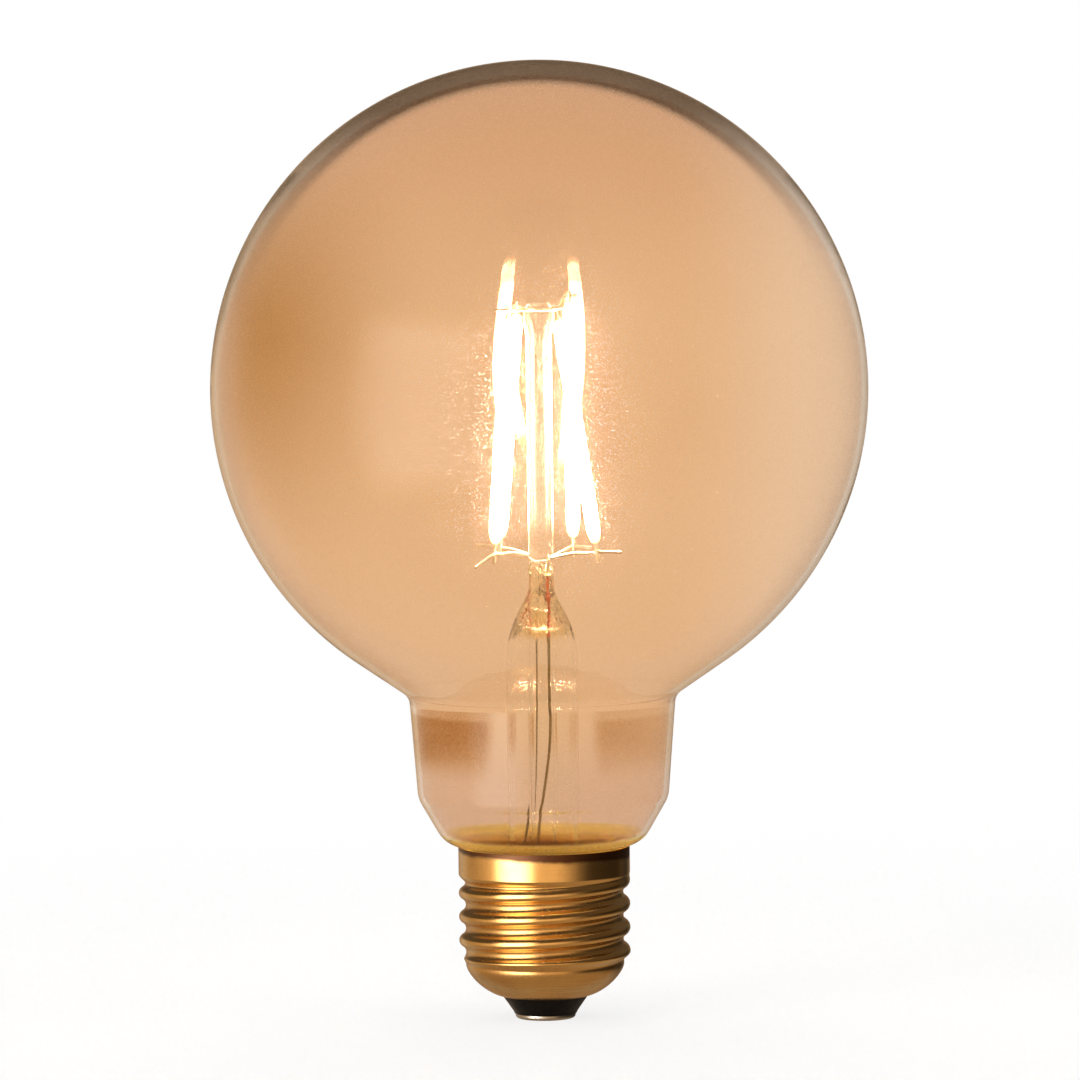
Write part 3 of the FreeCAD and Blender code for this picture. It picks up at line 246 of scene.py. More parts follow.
def new_group(
    name: str, kind: str, inputs: dict[str, float], outputs: Sequence[str]
) -> tuple[Bench, dict[str, Number], bpy.types.Node]:
    """Starts a node group with plain number inputs and outputs.

    Args:
        name: The group's name.
        kind: The tree's type in Blender.
        inputs: Its inputs, each with a default.
        outputs: The names of its outputs.

    Returns:
        The bench for its nodes, its inputs as Numbers by name, and its output node.
    """
    tree = bpy.data.node_groups.new(name, kind)
    for label, default in inputs.items():
        socket = tree.interface.new_socket(label, in_out="INPUT", socket_type="NodeSocketFloat")
        socket.default_value = default
    for label in outputs:
        tree.interface.new_socket(label, in_out="OUTPUT", socket_type="NodeSocketFloat")
    bench = Bench(tree)
    source = bench.add("NodeGroupInput")
    numbers = {label: Number(bench, source.outputs[label]) for label in inputs}
    return bench, numbers, bench.add("NodeGroupOutput")


# Shared effects: groups that give masks and heights from the piece's own coordinates


@dataclass
class Effects:
    """The node groups that more than one finish uses, each made once."""

    made: dict[str, bpy.types.NodeTree] = field(default_factory=dict)

    def get(self, name: str, make: Callable[[], bpy.types.NodeTree]) -> bpy.types.NodeTree:
        """The group of that name, made on its first use.

        Args:
            name: The group's name.
            make: What builds it.

        Returns:
            The group's tree.
        """
        if name not in self.made:
            self.made[name] = make()
        return self.made[name]

    def grain(self) -> bpy.types.NodeTree:
        """Fine cloudy grain: a mask between two noise levels.

        Returns:
            The group's tree.
        """

        def make() -> bpy.types.NodeTree:
            """Builds the group.

            Returns:
                Its tree.
            """
            inputs = {"Scale": 500.0, "Detail": 3.0, "Low": 0.35, "High": 0.65}
            bench, given, end = new_group("fine_grain", "ShaderNodeTree", inputs, ["Mask"])
            noise = bench.add(
                "ShaderNodeTexNoise",
                {"Vector": bench.place(), "Scale": given["Scale"], "Detail": given["Detail"]},
            )
            mask = ((bench.number(noise) - given["Low"]) / (given["High"] - given["Low"])).eased()
            bench.feed(end.inputs["Mask"], mask)
            return bench.tree

        return self.get("grain", make)

    def streaks(self) -> bpy.types.NodeTree:
        """Long fine lines: noise drawn out round the axis or along it.

        Returns:
            The group's tree.
        """

        def make() -> bpy.types.NodeTree:
            """Builds the group.

            Returns:
                Its tree.
            """
            inputs = {"Round": 60.0, "Up": 3000.0, "Low": 0.3, "High": 0.7}
            bench, given, end = new_group("drawn_lines", "ShaderNodeTree", inputs, ["Mask"])
            across = bench.add("ShaderNodeCombineXYZ", {0: given["Round"], 1: given["Round"], 2: given["Up"]})
            vector = bench.add("ShaderNodeVectorMath", {0: bench.place(), 1: across}, operation="MULTIPLY")
            noise = bench.add("ShaderNodeTexNoise", {"Vector": vector, "Scale": 1.0, "Detail": 4.0})
            mask = ((bench.number(noise) - given["Low"]) / (given["High"] - given["Low"])).eased()
            bench.feed(end.inputs["Mask"], mask)
            return bench.tree

        return self.get("streaks", make)

    def specks(self) -> bpy.types.NodeTree:
        """Scattered specks: the share of tiny cells that are marked.

        Returns:
            The group's tree.
        """

        def make() -> bpy.types.NodeTree:
            """Builds the group.

            Returns:
                Its tree.
            """
            inputs = {"Scale": 6000.0, "Share": 0.2}
            bench, given, end = new_group("specks", "ShaderNodeTree", inputs, ["Mask"])
            cells = bench.add("ShaderNodeTexVoronoi", {"Vector": bench.place(), "Scale": given["Scale"]})
            red = bench.add("ShaderNodeSeparateColor", {0: cells.outputs["Color"]})
            bench.feed(end.inputs["Mask"], 1.0 - bench.number(red).above(given["Share"]))
            return bench.tree

        return self.get("specks", make)

    def waves(self) -> bpy.types.NodeTree:
        """The slow unevenness of blown glass, as a height.

        Returns:
            The group's tree.
        """

        def make() -> bpy.types.NodeTree:
            """Builds the group.

            Returns:
                Its tree.
            """
            inputs = {"Broad": 30.0, "Narrow": 140.0, "Narrow share": 0.2}
            bench, given, end = new_group("glass_waves", "ShaderNodeTree", inputs, ["Height"])
            broad, narrow = (
                bench.add(
                    "ShaderNodeTexNoise", {"Vector": bench.place(), "Scale": given[size], "Detail": 1.0}
                )
                for size in ("Broad", "Narrow")
            )
            height = bench.number(broad) + bench.number(narrow) * given["Narrow share"]
            bench.feed(end.inputs["Height"], height)
            return bench.tree

        return self.get("waves", make)


EFFECTS = Effects()


# Finishes


@dataclass(frozen=True)
class Finish:
    """A surface finish: a name, the record's slot it belongs to, and the nodes that make it."""

    name: str
    slot: str

    def dress(self, bench: Bench, surface: bpy.types.Node) -> None:
        """Feeds the Principled shader; each kind of finish has its own way."""
        raise NotImplementedError

    def material(self) -> bpy.types.Material:
        """The finish's material, made on its first use.

        Returns:
            The material, with its nodes.
        """
        found = bpy.data.materials.get(self.name)
        if found:
            return found
        material = bpy.data.materials.new(self.name)
        material.use_nodes = True
        bench = Bench(material.node_tree)
        bench.tree.nodes.clear()
        surface = bench.add("ShaderNodeBsdfPrincipled")
        self.dress(bench, surface)
        bench.add("ShaderNodeOutputMaterial", {"Surface": surface})
        return material

    @staticmethod
    def bump(bench: Bench, surface: bpy.types.Node, height: Value, depth_mm: float) -> None:
        """Gives the surface relief.

        Args:
            bench: Where the nodes go.
            surface: The Principled shader.
            height: The height, in units of the depth.
            depth_mm: How deep a height of 1 is.
        """
        relief = bench.add("ShaderNodeBump", {"Strength": 1.0, "Distance": depth_mm * MM, "Height": height})
        bench.feed(surface.inputs["Normal"], relief)


@dataclass(frozen=True)
class Glass(Finish):
    """Blown or pressed glass, tinted or clear, with a haze of rough specks."""

    tint: Colour = (0.97, 0.98, 0.96)
    deep_tint: Colour = (0.95, 0.97, 0.94)
    index: float = 1.5
    haze_share: float = 0.0
    haze_roughness: float = 0.5
    wave_depth_mm: float = 0.02
    shine: Colour = (1.0, 1.0, 1.0)
    broad: float = 30.0
    narrow: float = 140.0

    def colour(self, bench: Bench) -> bpy.types.NodeSocket:
        """The tint in slow clouds."""
        cloud = bench.group(EFFECTS.grain(), scale=22.0, detail=2.0, low=0.3, high=0.7)
        return bench.blend(cloud, self.tint, self.deep_tint)

    def haze(self, bench: Bench) -> Value:
        """The share of rough specks."""
        return self.haze_share

    def frosting(self, bench: Bench) -> Value:
        """How rough the specks are."""
        return self.haze_roughness

    def relief(self, bench: Bench) -> Value:
        """The waves of hot glass."""
        return bench.group(EFFECTS.waves(), broad=self.broad, narrow=self.narrow, narrow_share=0.15)

    def dress(self, bench: Bench, surface: bpy.types.Node) -> None:
        """The tint, haze in specks too small to see singly, and the waves of hot glass.

        Args:
            bench: Where the nodes go.
            surface: The Principled shader.
        """
        bench.feed(surface.inputs["Base Color"], self.colour(bench))
        speck = bench.group(EFFECTS.specks(), scale=20000.0, share=self.haze(bench))
        rough = bench.number(speck) * self.frosting(bench)
        bench.feed(surface.inputs["Roughness"], rough)
        surface.inputs["Metallic"].default_value = 0.0
        surface.inputs["IOR"].default_value = self.index
        surface.inputs["Specular Tint"].default_value = (*self.shine, 1.0)
        surface.inputs["Transmission Weight"].default_value = 1.0
        self.bump(bench, surface, self.relief(bench), self.wave_depth_mm)


@dataclass(frozen=True)
class PressedGlass(Glass):
    """Clear glass: folded where it was pressed flat, milky along the rod, with a painted olive reflection in
    the folds and painted golden light in the flare.
    """

    fold_heights: tuple[Pair, Pair] = ((57.5, 60.5), (70.5, 68.0))
    fold_depth: float = 26.0
    fold_reflection_tint: Colour = (0.98, 0.93, 0.7)
    fold_haze: float = 0.35
    rod_haze: float = 0.4
    rod_foot: float = 69.8
    fold_scale: float = 620.0
    fold_stretch: Triple = (1.0, 1.0, 0.45)
    lit_flare_tint: Colour = (0.9, 0.76, 0.36)
    flare_heights: Pair = (28.5, 26.5)
    flare_haze: float = 0.5

    def folds(self, bench: Bench) -> Number:
        """1 in the pressed part and 0 away from it."""
        z = bench.axes(bench.place())[2] / MM
        return z.ramp(*self.fold_heights[0]) * z.ramp(*self.fold_heights[1])

    def flare(self, bench: Bench) -> Number:
        """1 in the flare, which stands inside the cement, and 0 above it."""
        return (bench.axes(bench.place())[2] / MM).ramp(*self.flare_heights)

    def colour(self, bench: Bench) -> bpy.types.NodeSocket:
        """The tint, with a painted olive reflection in the folds and painted golden light in the flare."""
        # painted reflection: an olive tint in the folds
        colour = bench.blend(self.folds(bench), super().colour(bench), self.fold_reflection_tint)
        # painted light: golden in the flare, standing in for the lit cement round it
        return bench.blend(self.flare(bench), colour, self.lit_flare_tint)

    def haze(self, bench: Bench) -> Value:
        """Milkier in the folds, in the flare and along the rod, which the filaments light up.

        Args:
            bench: Where the nodes go.

        Returns:
            The share of rough specks.
        """
        rod = (bench.axes(bench.place())[2] / MM).above(self.rod_foot)
        milky = self.folds(bench) * self.fold_haze + rod * self.rod_haze
        return milky + self.flare(bench) * self.flare_haze + self.haze_share

    def relief(self, bench: Bench) -> Value:
        """The waves of the drawn tube, and drawn-out folds in the press.

        Args:
            bench: Where the nodes go.

        Returns:
            The height of the relief.
        """
        waves = bench.number(super().relief(bench))
        drawn = bench.stretched(bench.place(), self.fold_stretch)
        noise = {"Vector": drawn, "Scale": self.fold_scale, "Detail": 1.5, "Distortion": 0.8}
        folds = bench.add("ShaderNodeTexNoise", noise)
        return waves + bench.number(folds) * self.folds(bench) * self.fold_depth


@dataclass(frozen=True)
class AmberCoat(Glass):
    """The globe's amber glass, in grain and clouds, with painted zones of light and shade.

    Painted shade darkens one soft patch on the front left above the middle, the upper part, grainy windows at
    the neck's sides, most on the left, and the crown's edge, near black there. The limb is darker, partly from
    the coat seen edge-on and partly from painted shade that is strongest on the left. The glass is a little
    darker low on the bulb, paler on the right as painted light, and golden in the foot as painted light of the
    lit cement behind it, where it is also frosted. Heights and places are in millimetres.
    """

    cloud_share: float = 0.7
    grain_share: float = 0.3
    upper_shade_tint: Colour = (0.83, 0.6, 0.42)
    upper_shade_heights: Pair = (104.0, 142.0)
    low_tint: Colour = (0.83, 0.63, 0.48)
    low_heights: Pair = (48.0, 34.0)
    shade_patch_tint: Colour = (0.6, 0.36, 0.16)
    shade_patch_place: Triple = (-38.0, -25.0, 104.0)
    shade_patch_reach: float = 34.0
    limb_coat_and_shade_tint: Colour = (0.72, 0.46, 0.26)
    limb_facing: Pair = (0.62, 0.88)
    limb_level: float = 0.7
    limb_shade_lean: float = 0.009
    crown_shade_tint: Colour = (0.05, 0.028, 0.015)
    crown_shade_facing: Pair = (0.595, 0.67)
    crown_shade_heights: Pair = (112.0, 140.0)
    outer_skin: Pair = (49.2, 49.8)
    centre_height: float = 96.2
    neck_shade_tint: Colour = (0.6, 0.33, 0.13)
    neck_shade_heights: Pair = (37.0, 47.6)
    neck_shade_fades: Pair = (5.0, 0.8)
    neck_shade_sides: Pair = (7.0, 9.5)
    neck_shade_level: float = 0.72
    neck_shade_lean: float = 0.02
    lit_right_tint: Colour = (0.93, 0.77, 0.62)
    lit_right_sides: Pair = (18.0, 46.0)
    lit_right_share: float = 0.8
    lit_foot_tint: Colour = (0.97, 0.76, 0.26)
    foot_heights: Pair = (28.5, 27.9)
    foot_haze: float = 0.85
    foot_roughness: float = 0.9

    def colour(self, bench: Bench) -> bpy.types.NodeSocket:
        """The tint in grain and clouds, with painted zones of light and shade.

        Args:
            bench: Where the nodes go.

        Returns:
            The socket with the colour.
        """
        place = bench.place()
        x, y, z = (axis / MM for axis in bench.axes(place))
        grains = bench.number(bench.group(EFFECTS.grain(), scale=2200.0, detail=3.0, low=0.25, high=0.75))
        cloud = bench.number(bench.group(EFFECTS.grain(), scale=22.0, detail=2.0, low=0.3, high=0.7))
        share = cloud * self.cloud_share + grains * self.grain_share
        colour = bench.blend(share, self.tint, self.deep_tint)
        # painted shade: darker in the upper part of the globe
        colour = bench.blend(z.ramp(*self.upper_shade_heights), colour, self.upper_shade_tint)
        colour = bench.blend(z.ramp(*self.low_heights), colour, self.low_tint)
        # painted light: paler towards the right side
        colour = bench.blend(x.ramp(*self.lit_right_sides) * self.lit_right_share, colour, self.lit_right_tint)
        # painted shade: a soft dark patch on the front left, above the middle
        steps = [(axis - middle) * (axis - middle) for axis, middle in zip((x, y, z), self.shade_patch_place)]
        patch = (steps[0] + steps[1] + steps[2]).root().ramp(self.shade_patch_reach, 0.0)
        colour = bench.blend(patch, colour, self.shade_patch_tint)
        # painted shade: grainy dark windows at the neck's sides, darkest on the left
        low, high = self.neck_shade_heights
        fade_in, fade_out = self.neck_shade_fades
        neck = z.ramp(low, low + fade_in) * z.ramp(high, high - fade_out) * (grains * 0.5 + 0.5)
        neck = neck * x.size().ramp(*self.neck_shade_sides) * (self.neck_shade_level - x * self.neck_shade_lean)
        colour = bench.blend(neck, colour, self.neck_shade_tint)
        # painted light: golden in the foot, standing in for the lit cement behind it
        colour = bench.blend(self.foot(bench), colour, self.lit_foot_tint)
        facing = bench.number(bench.add("ShaderNodeLayerWeight", {"Blend": 0.5}).outputs["Facing"])
        # darker towards the limb: partly the coat seen edge-on, partly painted shade that is strongest on the
        # left
        limb = facing.ramp(*self.limb_facing) * (self.limb_level - x * self.limb_shade_lean)
        colour = bench.blend(limb.clipped(), colour, self.limb_coat_and_shade_tint)
        # painted shade: near black at the crown's edge, on the outer skin only
        rise = z - self.centre_height
        skin_radius = (x * x + y * y + rise * rise).root()
        crown = facing.ramp(*self.crown_shade_facing) * z.ramp(*self.crown_shade_heights)
        crown = crown * skin_radius.ramp(*self.outer_skin)
        return bench.blend(crown, colour, self.crown_shade_tint)

    def foot(self, bench: Bench) -> Number:
        """1 in the globe's foot, round the cap's rim, and 0 above it."""
        return (bench.axes(bench.place())[2] / MM).ramp(*self.foot_heights)

    def haze(self, bench: Bench) -> Value:
        """Cloudy where the foot was sealed in the flame."""
        return self.foot(bench) * self.foot_haze + self.haze_share

    def frosting(self, bench: Bench) -> Value:
        """Rougher in the foot."""
        return self.foot(bench) * (self.foot_roughness - self.haze_roughness) + self.haze_roughness


@dataclass(frozen=True)
class LitPhosphor(Finish):
    """The glowing coat of a filament, brighter over each light chip under it."""

    coat: Colour = (0.95, 0.75, 0.3)
    pale_coat: Colour = (0.98, 0.82, 0.42)
    light: Colour = (1.0, 0.95, 0.9)
    strength: float = 180.0
    tip_light: Colour = (0.05, 0.025, 0.01)

    def dress(self, bench: Bench, surface: bpy.types.Node) -> None:
        """Glow from the chip pattern that the mesh carries, dimmer and warmer at the tips.

        Args:
            bench: Where the nodes go.
            surface: The Principled shader.
        """
        glow = bench.number(bench.add("ShaderNodeAttribute", attribute_name="glow").outputs["Fac"])
        grain = bench.number(bench.group(EFFECTS.grain(), scale=1800.0, detail=2.0, low=0.2, high=0.8))
        bench.feed(surface.inputs["Base Color"], bench.blend(grain, self.coat, self.pale_coat))
        bench.feed(surface.inputs["Roughness"], grain * 0.2 + 0.5)
        level = glow * (grain * 0.1 + 0.9)
        bench.feed(surface.inputs["Emission Color"], bench.blend(level, self.tip_light, self.light))
        surface.inputs["Emission Strength"].default_value = self.strength
        self.bump(bench, surface, grain, 0.03)


@dataclass(frozen=True)
class Metal(Finish):
    """Drawn wire, rolled sheet or tinned metal: lines along its making, stains and fine grain."""

    bright: Colour = (0.75, 0.72, 0.66)
    dull: Colour = (0.5, 0.46, 0.4)
    roughness: Pair = (0.2, 0.4)
    round_scale: float = 400.0
    up_scale: float = 4000.0
    stain_scale: float = 250.0
    stain_levels: Pair = (0.45, 0.75)
    line_depth_mm: float = 0.004
    metallic: float = 1.0

    def dress(self, bench: Bench, surface: bpy.types.Node) -> None:
        """Bright metal with dull stains, both broken up by fine lines.

        Args:
            bench: Where the nodes go.
            surface: The Principled shader.
        """
        lines = bench.number(bench.group(EFFECTS.streaks(), round=self.round_scale, up=self.up_scale))
        low, high = self.stain_levels
        patches = bench.group(EFFECTS.grain(), scale=self.stain_scale, detail=4.0, low=low, high=high)
        stain = bench.number(patches)
        share = (stain * 0.75 + lines * 0.25).clipped()
        bench.feed(surface.inputs["Base Color"], bench.blend(share, self.bright, self.dull))
        least, most = self.roughness
        bench.feed(surface.inputs["Roughness"], (stain * 0.6 + lines * 0.4) * (most - least) + least)
        surface.inputs["Metallic"].default_value = self.metallic
        self.bump(bench, surface, lines, self.line_depth_mm)


@dataclass(frozen=True)
class RolledBrass(Finish):
    """The cap's thin brass sheet: polished crests, rougher roots darkened by painted shade, rolling lines and a
    few scratches.
    """

    crest: Colour = (0.85, 0.58, 0.24)
    root: Colour = (0.6, 0.35, 0.13)
    stain: Colour = (0.35, 0.2, 0.08)
    # the rim band's colour and extent: painted shade under the rim
    rim_shade: Colour = (0.14, 0.065, 0.035)
    rim_shade_heights: Pair = (25.0, 25.7)
    rim_shade_cloud: float = 0.4
    rim_shade_lean: float = 40.0
    rim_roughness: float = 0.2
    least_roughness: float = 0.17
    bright_radius: float = 13.05
    dull_radius: float = 12.15
    relief_mm: float = 0.006

    def dress(self, bench: Bench, surface: bpy.types.Node) -> None:
        """Colour and gloss from the depth in the thread, the darker roots being painted shade, with lines round
        the axis over both.

        Args:
            bench: Where the nodes go.
            surface: The Principled shader.
        """
        x, y, z = bench.axes(bench.place())
        radius = (x * x + y * y).root() / MM
        depth = radius.ramp(self.bright_radius, self.dull_radius)
        lines = bench.number(bench.group(EFFECTS.streaks(), round=70.0, up=5200.0, low=0.35, high=0.75))
        drawn = bench.number(bench.group(EFFECTS.streaks(), round=900.0, up=40.0, low=0.45, high=0.8))
        cloud = bench.number(bench.group(EFFECTS.grain(), scale=160.0, detail=5.0, low=0.42, high=0.72))
        pits = bench.number(bench.group(EFFECTS.grain(), scale=2600.0, detail=2.0, low=0.55, high=0.75))
        # painted shade: darker towards the thread's roots, mixed with random clouds and rolling lines
        root_shade_and_grain = (depth * 0.5 * (cloud * 0.5 + 0.5) + cloud * 0.22 + lines * 0.12).clipped()
        colour = bench.blend(root_shade_and_grain, self.crest, self.root)
        spots = (pits * cloud * 0.5).clipped()
        colour = bench.blend(spots, colour, self.stain)
        # painted shade: a dark band just under the rim, cloudy at its edge, reaching lower on the right
        rim = (z / MM + cloud * self.rim_shade_cloud + x * self.rim_shade_lean).ramp(*self.rim_shade_heights)
        bench.feed(surface.inputs["Base Color"], bench.blend(rim, colour, self.rim_shade))
        worn = depth * 0.06 + cloud * 0.06 + lines * 0.05 + drawn * 0.03
        bench.feed(surface.inputs["Roughness"], worn + rim * self.rim_roughness + self.least_roughness)
        surface.inputs["Metallic"].default_value = 1.0
        relief = lines * 0.5 + drawn * 0.35 + pits * 0.5
        self.bump(bench, surface, relief, self.relief_mm)


@dataclass(frozen=True)
class Moulded(Finish):
    """Cement, resin, sleeve, lacquer or black glass: two close colours in grain, with pits or gloss."""

    light: Colour = (0.06, 0.06, 0.06)
    dark: Colour = (0.02, 0.02, 0.02)
    roughness: Pair = (0.3, 0.5)
    scale: float = 900.0
    depth_mm: float = 0.02
    coat: float = 0.0
    gloss: float = 0.5

    def dress(self, bench: Bench, surface: bpy.types.Node) -> None:
        """Grain at two sizes, in colour, gloss and relief.

        Args:
            bench: Where the nodes go.
            surface: The Principled shader.
        """
        broad = self.scale * 0.2
        coarse = bench.number(bench.group(EFFECTS.grain(), scale=broad, detail=3.0, low=0.3, high=0.7))
        fine = bench.number(bench.group(EFFECTS.grain(), scale=self.scale, detail=4.0, low=0.3, high=0.7))
        share = coarse * 0.4 + fine * 0.6
        bench.feed(surface.inputs["Base Color"], bench.blend(share, self.light, self.dark))
        least, most = self.roughness
        bench.feed(surface.inputs["Roughness"], share * (most - least) + least)
        surface.inputs["Coat Weight"].default_value = self.coat
        surface.inputs["Specular IOR Level"].default_value = self.gloss
        self.bump(bench, surface, share, self.depth_mm)


@dataclass(frozen=True)
class SolderMask(Finish):
    """The driver board's green mask over its glass weave, with copper showing round the rim."""

    mask: Colour = (0.02, 0.16, 0.06)
    weave: Colour = (0.03, 0.22, 0.09)
    copper: Colour = (0.75, 0.42, 0.24)
    rim_radius: float = 11.2
    weave_scale: float = 9000.0

    def dress(self, bench: Bench, surface: bpy.types.Node) -> None:
        """A woven pattern under lacquer and a bare ring at the edge.

        Args:
            bench: Where the nodes go.
            surface: The Principled shader.
        """
        x, y, _ = bench.axes(bench.place())
        warp = ((x * self.weave_scale).sine() * 0.5 + 0.5) * ((y * self.weave_scale).sine() * 0.5 + 0.5)
        radius = (x * x + y * y).root() / MM
        bare = radius.above(self.rim_radius)
        covered = bench.blend(warp, self.mask, self.weave)
        bench.feed(surface.inputs["Base Color"], bench.blend(bare, covered, self.copper))
        bench.feed(surface.inputs["Metallic"], bare)
        bench.feed(surface.inputs["Roughness"], warp * 0.15 + 0.3)
        self.bump(bench, surface, warp, 0.01)


@dataclass(frozen=True)
class Banded(Finish):
    """A lacquered resistor with plain colour rings."""

    body: Colour = (0.25, 0.42, 0.36)
    ring: Colour = (0.2, 0.06, 0.03)
    ring_step_mm: float = 1.3
    ring_level: float = 0.72
    ring_reach_mm: float = 2.2

    def dress(self, bench: Bench, surface: bpy.types.Node) -> None:
        """Three rings along the body under gloss lacquer.

        Args:
            bench: Where the nodes go.
            surface: The Principled shader.
        """
        _, y, _ = bench.axes(bench.place())
        wave = (y / MM * (2 * math.pi / self.ring_step_mm)).cosine().above(self.ring_level)
        inside = 1.0 - (y / MM).size().above(self.ring_reach_mm)
        grain = bench.number(bench.group(EFFECTS.grain(), scale=1200.0, detail=3.0, low=0.3, high=0.7))
        bench.feed(surface.inputs["Base Color"], bench.blend(wave * inside, self.body, self.ring))
        bench.feed(surface.inputs["Roughness"], grain * 0.15 + 0.2)
        self.bump(bench, surface, grain, 0.01)


class Look(Enum):
    """The lamp's finishes, one for each material slot of the record."""

    AMBER_GLASS = AmberCoat(
        "blown_amber_glass", "amber_glass",
        tint=(0.9, 0.69, 0.5), deep_tint=(0.87, 0.645, 0.44), shine=(0.32, 0.31, 0.3),
        index=1.6, haze_share=0.01, haze_roughness=0.36, wave_depth_mm=0.05, broad=28.0, narrow=120.0,
    )
    CLEAR_GLASS = PressedGlass(
        "pressed_clear_glass", "clear_glass",
        tint=(1.0, 1.0, 0.99), deep_tint=(0.985, 0.99, 0.975),
        index=1.27, haze_share=0.05, haze_roughness=0.3, wave_depth_mm=0.03, broad=160.0, narrow=600.0,
    )
    PHOSPHOR = LitPhosphor("lit_phosphor", "phosphor")
    NICKEL = Metal(
        "drawn_nickel", "nickel_wire",
        bright=(0.95, 0.9, 0.78), dull=(0.75, 0.66, 0.46), roughness=(0.35, 0.5),
    )
    COPPER = Metal(
        "clad_copper", "copper_wire",
        bright=(0.85, 0.3, 0.16), dull=(0.6, 0.16, 0.09), roughness=(0.25, 0.45),
    )
    LEAD = Metal(
        "dull_lead_wire", "lead_wire",
        bright=(0.42, 0.34, 0.15), dull=(0.22, 0.18, 0.07), roughness=(0.35, 0.55),
    )
    BRASS = RolledBrass("rolled_brass", "brass_sheet")
    CEMENT = Moulded(
        "baked_cement", "cement",
        light=(0.95, 0.78, 0.36), dark=(0.78, 0.6, 0.24), roughness=(0.7, 0.95), scale=1500.0, depth_mm=0.08,
    )
    BLACK_GLASS = Moulded(
        "black_pressed_glass", "black_insulator",
        light=(0.008, 0.007, 0.006), dark=(0.003, 0.003, 0.003), roughness=(0.25, 0.4),
        scale=700.0, depth_mm=0.03, gloss=0.1,
    )
    CONTACT = Metal(
        "stamped_contact", "contact_metal",
        bright=(0.5, 0.49, 0.46), dull=(0.3, 0.29, 0.27), roughness=(0.25, 0.5),
        round_scale=900.0, up_scale=900.0,
    )
    BOARD = SolderMask("solder_mask", "circuit_board")
    RESIN = Moulded(
        "chip_resin", "moulded_black",
        light=(0.035, 0.035, 0.04), dark=(0.015, 0.015, 0.018), roughness=(0.5, 0.75),
    )
    TINNED = Metal(
        "tinned_legs", "tinned_metal",
        bright=(0.75, 0.76, 0.78), dull=(0.5, 0.5, 0.52), roughness=(0.2, 0.45),
    )
    CAN = Moulded(
        "can_sleeve", "capacitor_can",
        light=(0.03, 0.03, 0.05), dark=(0.015, 0.015, 0.03), roughness=(0.25, 0.4),
    )
    LACQUER = Banded("ringed_lacquer", "resistor_coat")
    RED_SLEEVE = Moulded(
        "red_sleeve", "wire_cover_red",
        light=(0.55, 0.03, 0.02), dark=(0.4, 0.02, 0.015), roughness=(0.4, 0.6),
    )
    BLACK_SLEEVE = Moulded("black_sleeve", "wire_cover_black", roughness=(0.4, 0.6))


# Shapes


def finished(piece: bpy.types.Object, look: Look, *nodes: str) -> bpy.types.Object:
    """Dresses a piece, lets it ride on the lamp's one body and stand for its CAD nodes.

    Args:
        piece: A mesh object at the origin.
        look: Its finish.
        *nodes: The CAD nodes it stands for.

    Returns:
        The piece.
    """
    if not piece.data.materials:
        piece.data.materials.append(look.value.material())
    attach(piece, "root")
    if nodes:
        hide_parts(*nodes)
    return piece


def new_object(name: str, data: bpy.types.ID | None) -> bpy.types.Object:
    """An object in the scene, at the origin.

    Args:
        name: The object's name.
        data: What it shows, or nothing.

    Returns:
        The object.
    """
    made = bpy.data.objects.new(name, data)
    bpy.context.scene.collection.objects.link(made)
    return made


def arc(centre: Pair, start: Pair, end: Pair, steps: int) -> list[Pair]:
    """Points of the shorter arc from start to end.

    Args:
        centre: The arc's centre, as radius and height.
        start: Its first point.
        end: Its last point, on the same circle.
        steps: How many runs it is cut into.

    Returns:
        The points after start, up to and with end.
    """
    first = math.atan2(start[1] - centre[1], start[0] - centre[0])
    sweep = (math.atan2(end[1] - centre[1], end[0] - centre[0]) - first + math.pi) % (2 * math.pi) - math.pi
    reach = math.dist(centre, start)
    angles = [first + sweep * i / steps for i in range(1, steps + 1)]
    return [(centre[0] + reach * math.cos(a), centre[1] + reach * math.sin(a)) for a in angles]


@dataclass(frozen=True)
class Ring:
    """One level ring of a glass skin, in millimetres; a ring of no width is a pole."""

    height: float
    half_width: float
    half_depth: float
    turn: float = 0.0


def rings(profile: Sequence[Pair]) -> list[Ring]:
    """Round rings from points of radius and height."""
    return [Ring(height, radius, radius) for radius, height in profile]


def smooth_rings(sections: Sequence[Ring], steps: int) -> list[Ring]:
    """Rings that pass smoothly through given ones.

    Args:
        sections: The rings to pass through, from first to last.
        steps: How many rings go into each gap.

    Returns:
        All the rings, with the first and the last one.
    """
    found = [sections[0]]
    for i in range(len(sections) - 1):
        after = min(len(sections) - 1, i + 2)
        four = [sections[max(0, i - 1)], sections[i], sections[i + 1], sections[after]]
        for step in range(1, steps + 1):
            t = step / steps
            weights = (
                (-t + 2 * t**2 - t**3) / 2, (2 - 5 * t**2 + 3 * t**3) / 2,
                (t + 4 * t**2 - 3 * t**3) / 2, (t**3 - t**2) / 2,
            )
            height = four[1].height + (four[2].height - four[1].height) * t
            width = sum(w * r.half_width for w, r in zip(weights, four))
            depth = sum(w * r.half_depth for w, r in zip(weights, four))
            found.append(Ring(height, width, depth, four[1].turn))
    return found


